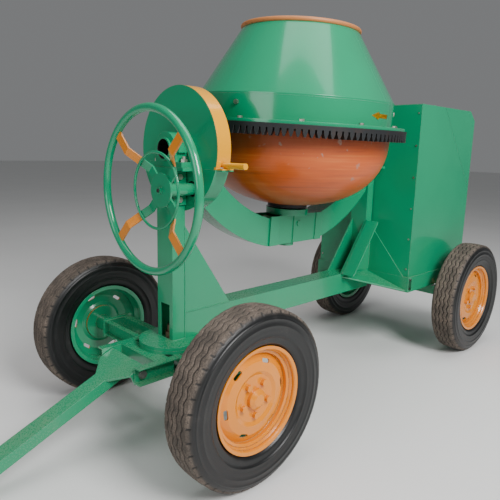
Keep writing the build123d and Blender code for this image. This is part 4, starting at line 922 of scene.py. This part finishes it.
@dataclass(frozen=True)
class Wheels:
    """Four road wheels: tyres with their tread, and the painted rims."""

    paints: Paints

    @staticmethod
    def half_track(axle: str) -> float:
        """Distance of an axle's wheels from the middle of the machine."""
        low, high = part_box(f"tyre_{axle}_left")
        return (low.y + high.y) / 2

    def tyre(self, corner: str) -> bpy.types.Object:
        """Make one tyre.

        Args:
            corner: Which wheel.

        Returns:
            The tyre, in place and riding on its wheel.
        """
        low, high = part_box(f"tyre_{corner}")
        centre = (low + high) / 2
        shape = TyreShape(radius=(high.z - low.z) / 2, half_width=(high.y - low.y) / 2)
        section = shape.section()
        columns = shape.periods * shape.steps
        kept: dict[str, list[float]] = {"tread_top": [], "pit": [], "across": [], "around": []}
        rings = []
        for column in range(columns):
            turn = 2 * math.pi * column / columns
            sway = shape.sway(column)
            ring = []
            for across, radius, zigzag, top in section:
                marked = shape.in_mark(column, across, radius)
                out = shape.crowned(across, radius) - (shape.mark_depth if marked else 0.0)
                ring.append(Vector((centre.x + out * math.cos(turn), centre.y + across + sway * zigzag,
                                    centre.z + out * math.sin(turn))))
                kept["tread_top"].append(0.0 if marked else top)
                kept["pit"].append(1.0 if marked or shape.in_groove(radius, top) else 0.0)
                kept["across"].append(across)
                kept["around"].append(column / columns)
            rings.append(ring)
        made = piece_from(f"tread_{corner}", ring_mesh(rings), self.paints["tyre_rubber"])
        for name, values in kept.items():
            made.data.attributes.new(name, "FLOAT", "POINT").data.foreach_set("value", values)
        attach(made, f"wheel_{corner}")
        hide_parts(f"tyre_{corner}")
        LOG.info("tyre %s: %d faces", corner, len(made.data.polygons))
        return made

    def build(self) -> None:
        """Make the tyres and paint the rims."""
        for corner in CORNERS:
            self.tyre(corner)
            axle = corner.split("_")[0]
            self.paints.dress(f"rim_{axle}", [f"rim_{corner}"])


# ---------------------------------------------------------------- spin arrow
@dataclass(frozen=True)
class SpinArrow:
    """A yellow arrow on the drum's band that shows which way the drum turns, in metres and degrees."""

    paints: Paints
    band_r: float = 0.5195
    turn: float = 93.5
    height: float = 1.524
    length: float = 0.150
    width: float = 0.040
    thickness: float = 0.0008
    head: float = 0.42
    blunt: float = 0.02
    steps: int = 24

    def half_width(self, share: float) -> float:
        """Half of the arrow's width at a share of its length, from its tip."""
        return self.width / 2 * (share / self.head if share <= self.head else 0.5)

    def build(self) -> None:
        """Make the arrow as a thin raised strip that follows the band, there and back."""
        rings = []
        for number in range(self.steps + 1):
            share = self.blunt + (1 - self.blunt) * number / self.steps
            turn = self.turn + math.degrees((share - 0.5) * self.length / self.band_r)
            half = self.half_width(share)
            corners = ((0.0, -1), (self.thickness, -1), (self.thickness, 1), (0.0, 1))
            rings.append([DRUM.point(self.band_r + lift, turn, self.height + side * half)
                          for lift, side in corners])
        mesh = ring_mesh(rings + rings[-2:0:-1])
        made = piece_from("spin_arrow", mesh, self.paints["sticker_yellow"], smooth=False)
        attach(made, "drum")
        LOG.info("spin arrow: %d faces", len(made.data.polygons))


# ---------------------------------------------------------------- repeats
class Repeat(Enum):
    """What a repeater sets along a line."""

    BEAD = "overlapping weld ripples"
    HEAD = "hexagonal heads"


@dataclass(frozen=True)
class Row:
    """A line along which a small shape repeats, in metres."""

    name: str
    points: tuple[tuple[float, float, float], ...]
    body: str
    radius: float
    spacing: float
    aim: tuple[float, float, float] = (0.0, 0.0, 1.0)
    depth: float = 0.008
    seed: int = 1


class Repeater:
    """A Geometry Nodes group that sets one small shape again and again along a line."""

    INPUTS = {"Spacing": "Float", "Radius": "Float", "Depth": "Float", "Aim": "Vector", "Seed": "Int",
              "Finish": "Material"}
    BEAD_SIZES = (0.85, 1.15)

    def __init__(self, kind: Repeat) -> None:
        """Make the node group.

        Args:
            kind: What it sets along the line.
        """
        self.kind = kind
        self.group = bpy.data.node_groups.new(f"repeat_{kind.name.lower()}", "GeometryNodeTree")
        face = self.group.interface
        face.new_socket("Geometry", in_out="INPUT", socket_type="NodeSocketGeometry")
        self.sockets = {}
        for name, sort in self.INPUTS.items():
            socket = face.new_socket(name, in_out="INPUT", socket_type=f"NodeSocket{sort}")
            self.sockets[name] = socket.identifier
        face.new_socket("Geometry", in_out="OUTPUT", socket_type="NodeSocketGeometry")
        self._fill()

    def _add(self, kind: str, links: dict[Any, Any], **settings: Any) -> bpy.types.Node:
        """Add a node.

        Args:
            kind: The node's type.
            links: Values or links for its inputs, by name or number.
            **settings: Its properties, set first.

        Returns:
            The node.
        """
        made = self.group.nodes.new(kind)
        for key, value in settings.items():
            setattr(made, key, value)
        for key, value in links.items():
            if isinstance(value, bpy.types.NodeSocket):
                self.group.links.new(value, made.inputs[key])
            else:
                made.inputs[key].default_value = value
        return made

    def _fill(self) -> None:
        """Line to points, points to shapes, shapes to one mesh."""
        start = self.group.nodes.new("NodeGroupInput").outputs
        curve = self._add("GeometryNodeMeshToCurve", {"Mesh": start["Geometry"]})
        spaced = {"Curve": curve.outputs[0], "Length": start["Spacing"]}
        sampled = self._add("GeometryNodeResampleCurve", spaced, mode="LENGTH")
        if self.kind is Repeat.BEAD:
            shape = self._add("GeometryNodeMeshIcoSphere", {"Radius": start["Radius"], "Subdivisions": 2})
            along = self.group.nodes.new("GeometryNodeInputTangent").outputs[0]
        else:
            shape = self._add("GeometryNodeMeshCylinder",
                              {"Vertices": 6, "Radius": start["Radius"], "Depth": start["Depth"]})
            along = start["Aim"]
        turned = self._add("FunctionNodeAlignRotationToVector", {"Vector": along}, axis="Z")
        smallest, largest = self.BEAD_SIZES
        size = self._add("FunctionNodeRandomValue", {2: smallest, 3: largest, "Seed": start["Seed"]},
                         data_type="FLOAT")
        scale = size.outputs[1] if self.kind is Repeat.BEAD else (1.0, 1.0, 1.0)
        placed = self._add("GeometryNodeInstanceOnPoints", {
            "Points": sampled.outputs[0], "Instance": shape.outputs[0],
            "Rotation": turned.outputs[0], "Scale": scale})
        real = self._add("GeometryNodeRealizeInstances", {"Geometry": placed.outputs[0]})
        painted = self._add("GeometryNodeSetMaterial",
                            {"Geometry": real.outputs[0], "Material": start["Finish"]})
        end = self.group.nodes.new("NodeGroupOutput")
        self.group.links.new(painted.outputs[0], end.inputs[0])

    def lay(self, row: Row, finish: bpy.types.Material, slot: str) -> bpy.types.Object:
        """Run the group along one row.

        Args:
            row: The line and its sizes.
            finish: The material of the shapes.
            slot: Not used.

        Returns:
            The finished piece.
        """
        path = bpy.data.meshes.new("path")
        path.from_pydata(row.points, [(i, i + 1) for i in range(len(row.points) - 1)], [])
        carrier = bpy.data.objects.new("path", path)
        bpy.context.scene.collection.objects.link(carrier)
        modifier = carrier.modifiers.new("repeat", "NODES")
        modifier.node_group = self.group
        values = {"Spacing": row.spacing, "Radius": row.radius, "Depth": row.depth, "Aim": row.aim,
                  "Seed": row.seed, "Finish": finish}
        for name, value in values.items():
            modifier[self.sockets[name]] = value
        graph = bpy.context.evaluated_depsgraph_get()
        mesh = bpy.data.meshes.new_from_object(carrier.evaluated_get(graph))
        bpy.data.objects.remove(carrier)
        made = piece_from(row.name, mesh, finish, smooth=self.kind is Repeat.BEAD)
        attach(made, row.body)
        LOG.info("%s: %d faces", row.name, len(made.data.polygons))
        return made


@dataclass
class Joints:
    """Weld seams and extra bolt heads over the frame, laid by the repeaters, in metres."""

    paints: Paints
    bead: float = 0.0032
    gap: float = 0.0036
    skin: float = 0.0005
    post_height: float = 0.405
    gusset_length: float = 0.275
    brace_height: float = 0.315
    brace_length: float = 0.235
    cross_height: float = 0.29
    fork_inside: float = 0.135
    rail_end: float = 0.478
    rail_inset: float = 0.008
    trunnion_r: float = 0.0515
    ring_step: int = 10
    lug_lift: float = 0.006
    lug_inset: float = 0.014
    lug_pitch: float = 0.044
    lug_bolt: tuple[float, float] = (0.0075, 0.012)
    screw_inset: float = 0.016
    screw_margin: float = 0.05
    screw_pitch: float = 0.19
    screw: tuple[float, float] = (0.006, 0.006)

    def __post_init__(self) -> None:
        """Make the two repeaters."""
        self.beads = Repeater(Repeat.BEAD)
        self.heads = Repeater(Repeat.HEAD)

    def seam(self, name: str, body: str, *points: Sequence[float]) -> Row:
        """A weld seam through the points."""
        return Row(name, tuple(tuple(p) for p in points), body, self.bead, self.gap, seed=len(name))

    def frame_seams(self) -> list[Row]:
        """Seams of the posts, the spine and the gussets.

        Returns:
            One row for each seam.
        """
        post_low, post_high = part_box("front_post")
        spine_low, spine_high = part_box("spine_beam")
        rear_low, rear_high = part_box("rear_post")
        floor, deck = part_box("turntable_upper")[1].z, spine_high.z
        rows = []
        for label, side in SIDES:
            y = side * (spine_high.y + self.skin)
            rows += [
                self.seam(f"weld_post_{label}", "chassis", (post_low.x, y, floor), (post_high.x, y, floor)),
                self.seam(f"weld_post_up_{label}", "chassis", (post_low.x, y, deck + self.post_height),
                          (post_low.x, y, spine_low.z)),
                self.seam(f"weld_gusset_{label}", "chassis", (post_low.x, y, deck),
                          (post_low.x - self.gusset_length, y, deck)),
                self.seam(f"weld_brace_{label}", "chassis", (rear_high.x, y, deck + self.brace_height),
                          (rear_high.x, y, deck), (rear_high.x + self.brace_length, y, deck)),
                self.seam(f"weld_cross_{label}", "chassis", (rear_low.x, y, deck + self.cross_height),
                          (rear_low.x, y, deck)),
            ]
        rows.append(self.seam("weld_post_front", "chassis", (post_high.x, spine_low.y, floor),
                              (post_high.x, spine_high.y, floor)))
        return rows

    def steering_seams(self) -> list[Row]:
        """Seams of the tow fork and of the rail ends.

        Returns:
            One row for each seam.
        """
        fork_low, fork_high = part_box("tow_fork")
        rail_low, rail_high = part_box("axle_rails")
        rows = []
        for label, side in SIDES:
            rows += [
                self.seam(f"weld_fork_{label}", "front_axle",
                          (fork_low.x, side * self.fork_inside, fork_high.z),
                          (fork_low.x, side * fork_high.y, fork_high.z)),
                self.seam(f"weld_rail_{label}", "front_axle",
                          (rail_low.x + self.rail_inset, side * self.rail_end, fork_high.z),
                          (rail_high.x - self.rail_inset, side * self.rail_end, fork_high.z)),
            ]
        return rows

    def yoke_seams(self) -> list[Row]:
        """Rings round the trunnions' roots.

        Returns:
            One row for each ring.
        """
        rows = []
        arm_low, arm_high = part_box("yoke_frame")
        turns = [math.radians(degrees) for degrees in range(0, 361, self.ring_step)]
        for label, x in (("front", arm_high.x), ("rear", arm_low.x)):
            ring = [(x, self.trunnion_r * math.cos(turn), DRUM.tilt_z + self.trunnion_r * math.sin(turn))
                    for turn in turns]
            rows.append(self.seam(f"weld_trunnion_{label}", "yoke", *ring))
        return rows

    def bolt_rows(self) -> list[Row]:
        """Bolts of the guard's lugs and screws of the cabinet.

        Returns:
            One row for each line of heads.
        """
        guard_low, guard_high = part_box("guard_upper")
        wall_low, wall_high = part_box("cabinet_front")
        middle, lug = (guard_low.x + guard_high.x) / 2, GUARD.split_z + self.lug_lift
        bolt_r, bolt_depth = self.lug_bolt
        screw_r, screw_depth = self.screw
        rows = []
        for label, side in SIDES:
            y = side * (guard_high.y - self.lug_inset)
            ends = tuple((middle + half * self.lug_pitch, y, lug) for half in (-0.5, 0.5))
            rows.append(Row(f"bolts_guard_{label}", ends, "chassis", bolt_r, self.lug_pitch,
                            depth=bolt_depth))
            y = side * (wall_high.y - self.screw_inset)
            ends = ((wall_high.x, y, wall_low.z + self.screw_margin),
                    (wall_high.x, y, wall_high.z - self.screw_margin))
            rows.append(Row(f"screws_cabinet_{label}", ends, "chassis", screw_r, self.screw_pitch,
                            aim=(1.0, 0.0, 0.0), depth=screw_depth))
        return rows

    def build(self) -> None:
        """Lay every row."""
        for row in self.frame_seams() + self.steering_seams() + self.yoke_seams():
            self.beads.lay(row, self.paints["weld_bead"], "green_enamel")
        for row in self.bolt_rows():
            self.heads.lay(row, self.paints["zinc_bolts"], "plated_bolts")


# ---------------------------------------------------------------- bodywork
@dataclass(frozen=True)
class Bodywork:
    """Finishes of the CAD pieces that keep their own shape."""

    paints: Paints

    WEARS = {
        "green_enamel": (
            "spine_beam", "front_post", "rear_post", "frame_gussets", "engine_base", "plummer_blocks",
            "handwheel_bearing", "guard_lower", "rear_axle", "turntable_upper", "turntable_lower",
            "axle_rails", "front_axle_bar", "tow_fork", "drawbar", "yoke_frame", "yoke_bearing_box",
            "hood_handle"),
        "green_panel": ("cabinet_front", "cabinet_sides", "cabinet_rear", "cabinet_roof", "hood_cover"),
        "green_drum": ("drum_band", "drum_cone"),
        "handwheel_green": ("handwheel_rim", "handwheel_hub"),
        "spoke_two_tone": ("handwheel_spokes",),
        "guard_two_tone": ("guard_upper",),
        "orange_enamel": ("guard_handle",),
        "drum_orange": ("drum_bowl",),
        "mouth_orange": ("mouth_ring",),
        "gear_iron": (
            "ring_gear", "tilt_gear", "drive_pinion", "tilt_pinion", "drive_pulley", "engine_flywheel",
            "drum_spindle"),
        "engine_iron": ("engine_block", "fuel_tank"),
        "silencer_iron": ("exhaust_silencer",),
        "cast_fins": ("cylinder_head",),
        "trunnion_green": ("trunnion_pipes",),
        "bare_steel": ("drawbar_pin", "tow_eye", "mixing_blades", "hood_hinges"),
        "rusty_steel": ("king_pin",),
        "zinc_bolts": ("frame_bolts", "drum_bolts"),
        "belt_rubber": ("v_belts",),
    }

    def build(self) -> None:
        """Paint every piece."""
        for finish, nodes in self.WEARS.items():
            self.paints.dress(finish, nodes)


# ---------------------------------------------------------------- studio
@dataclass(frozen=True)
class Lamp:
    """A square soft light, in metres and watts."""

    name: str
    at: Point
    size: float
    watts: float

    def hang(self, target: Vector) -> None:
        """Put the light in the scene.

        Args:
            target: The place that it shines at.
        """
        data = bpy.data.lights.new(self.name, "AREA")
        data.size = self.size
        data.energy = self.watts
        made = bpy.data.objects.new(self.name, data)
        aim = target - Vector(self.at)
        made.matrix_world = Matrix.Translation(self.at) @ aim.to_track_quat("-Z", "Y").to_matrix().to_4x4()
        bpy.context.scene.collection.objects.link(made)


@dataclass(frozen=True)
class Studio:
    """Camera, floor and soft light, in metres and degrees."""

    paints: Paints
    camera_at: Point = (2.0807, 1.9353, 1.3264)
    yaw: float = -134.452
    pitch: float = -10.982
    roll: float = 1.462
    lens: float = 37.418
    view_end: float = 100.0
    floor_reach: float = 40.0
    sky: Colour = (0.96, 0.98, 1.0, 1.0)
    sky_strength: float = 0.2
    lit_height: float = 0.9
    lamps: tuple[Lamp, ...] = (
        Lamp("key", (0.8, 4.6, 4.2), 2.2, 400.0),
        Lamp("fill", (5.0, 0.5, 2.4), 2.5, 55.0),
        Lamp("top", (-0.5, 0.5, 6.0), 4.0, 150.0),
    )

    def camera(self) -> None:
        """Set up the camera at the viewing angle."""
        data = bpy.data.cameras.new("camera")
        data.lens = self.lens
        data.clip_end = self.view_end
        made = bpy.data.objects.new("camera", data)
        yaw, pitch, roll = (math.radians(angle) for angle in (self.yaw, self.pitch, self.roll))
        ahead = Vector((math.cos(pitch) * math.cos(yaw), math.cos(pitch) * math.sin(yaw), math.sin(pitch)))
        right = ahead.cross(Vector((0, 0, 1))).normalized()
        up = right.cross(ahead)
        tilted = math.cos(roll) * right + math.sin(roll) * up
        upper = -math.sin(roll) * right + math.cos(roll) * up
        turn = Matrix((tilted, upper, -ahead)).transposed().to_4x4()
        made.matrix_world = Matrix.Translation(self.camera_at) @ turn
        bpy.context.scene.collection.objects.link(made)
        bpy.context.scene.camera = made

    def floor(self) -> None:
        """Lay the pale floor."""
        reach = self.floor_reach
        corners = [(-reach, -reach, 0), (reach, -reach, 0), (reach, reach, 0), (-reach, reach, 0)]
        mesh = bpy.data.meshes.new("floor")
        mesh.from_pydata(corners, [], [(0, 1, 2, 3)])
        piece_from("floor", mesh, self.paints["pale_floor"], smooth=False)

    def light(self) -> None:
        """Set up the sky and hang the lamps."""
        world = bpy.data.worlds.new("soft_sky")
        world.use_nodes = True
        background = world.node_tree.nodes["Background"]
        background.inputs["Color"].default_value = self.sky
        background.inputs["Strength"].default_value = self.sky_strength
        bpy.context.scene.world = world
        for lamp in self.lamps:
            lamp.hang(Vector((0.0, 0.0, self.lit_height)))

    def build(self) -> None:
        """Make the camera, the floor, the sky and the lamps."""
        self.camera()
        self.floor()
        self.light()


def main() -> None:
    """Build every class in order."""
    logging.basicConfig(level=logging.INFO, format="%(message)s")
    paints = Paints()
    Studio(paints).build()
    Bodywork(paints).build()
    Wheels(paints).build()
    SpinArrow(paints).build()
    Joints(paints).build()


if __name__ == "__main__":
    main()
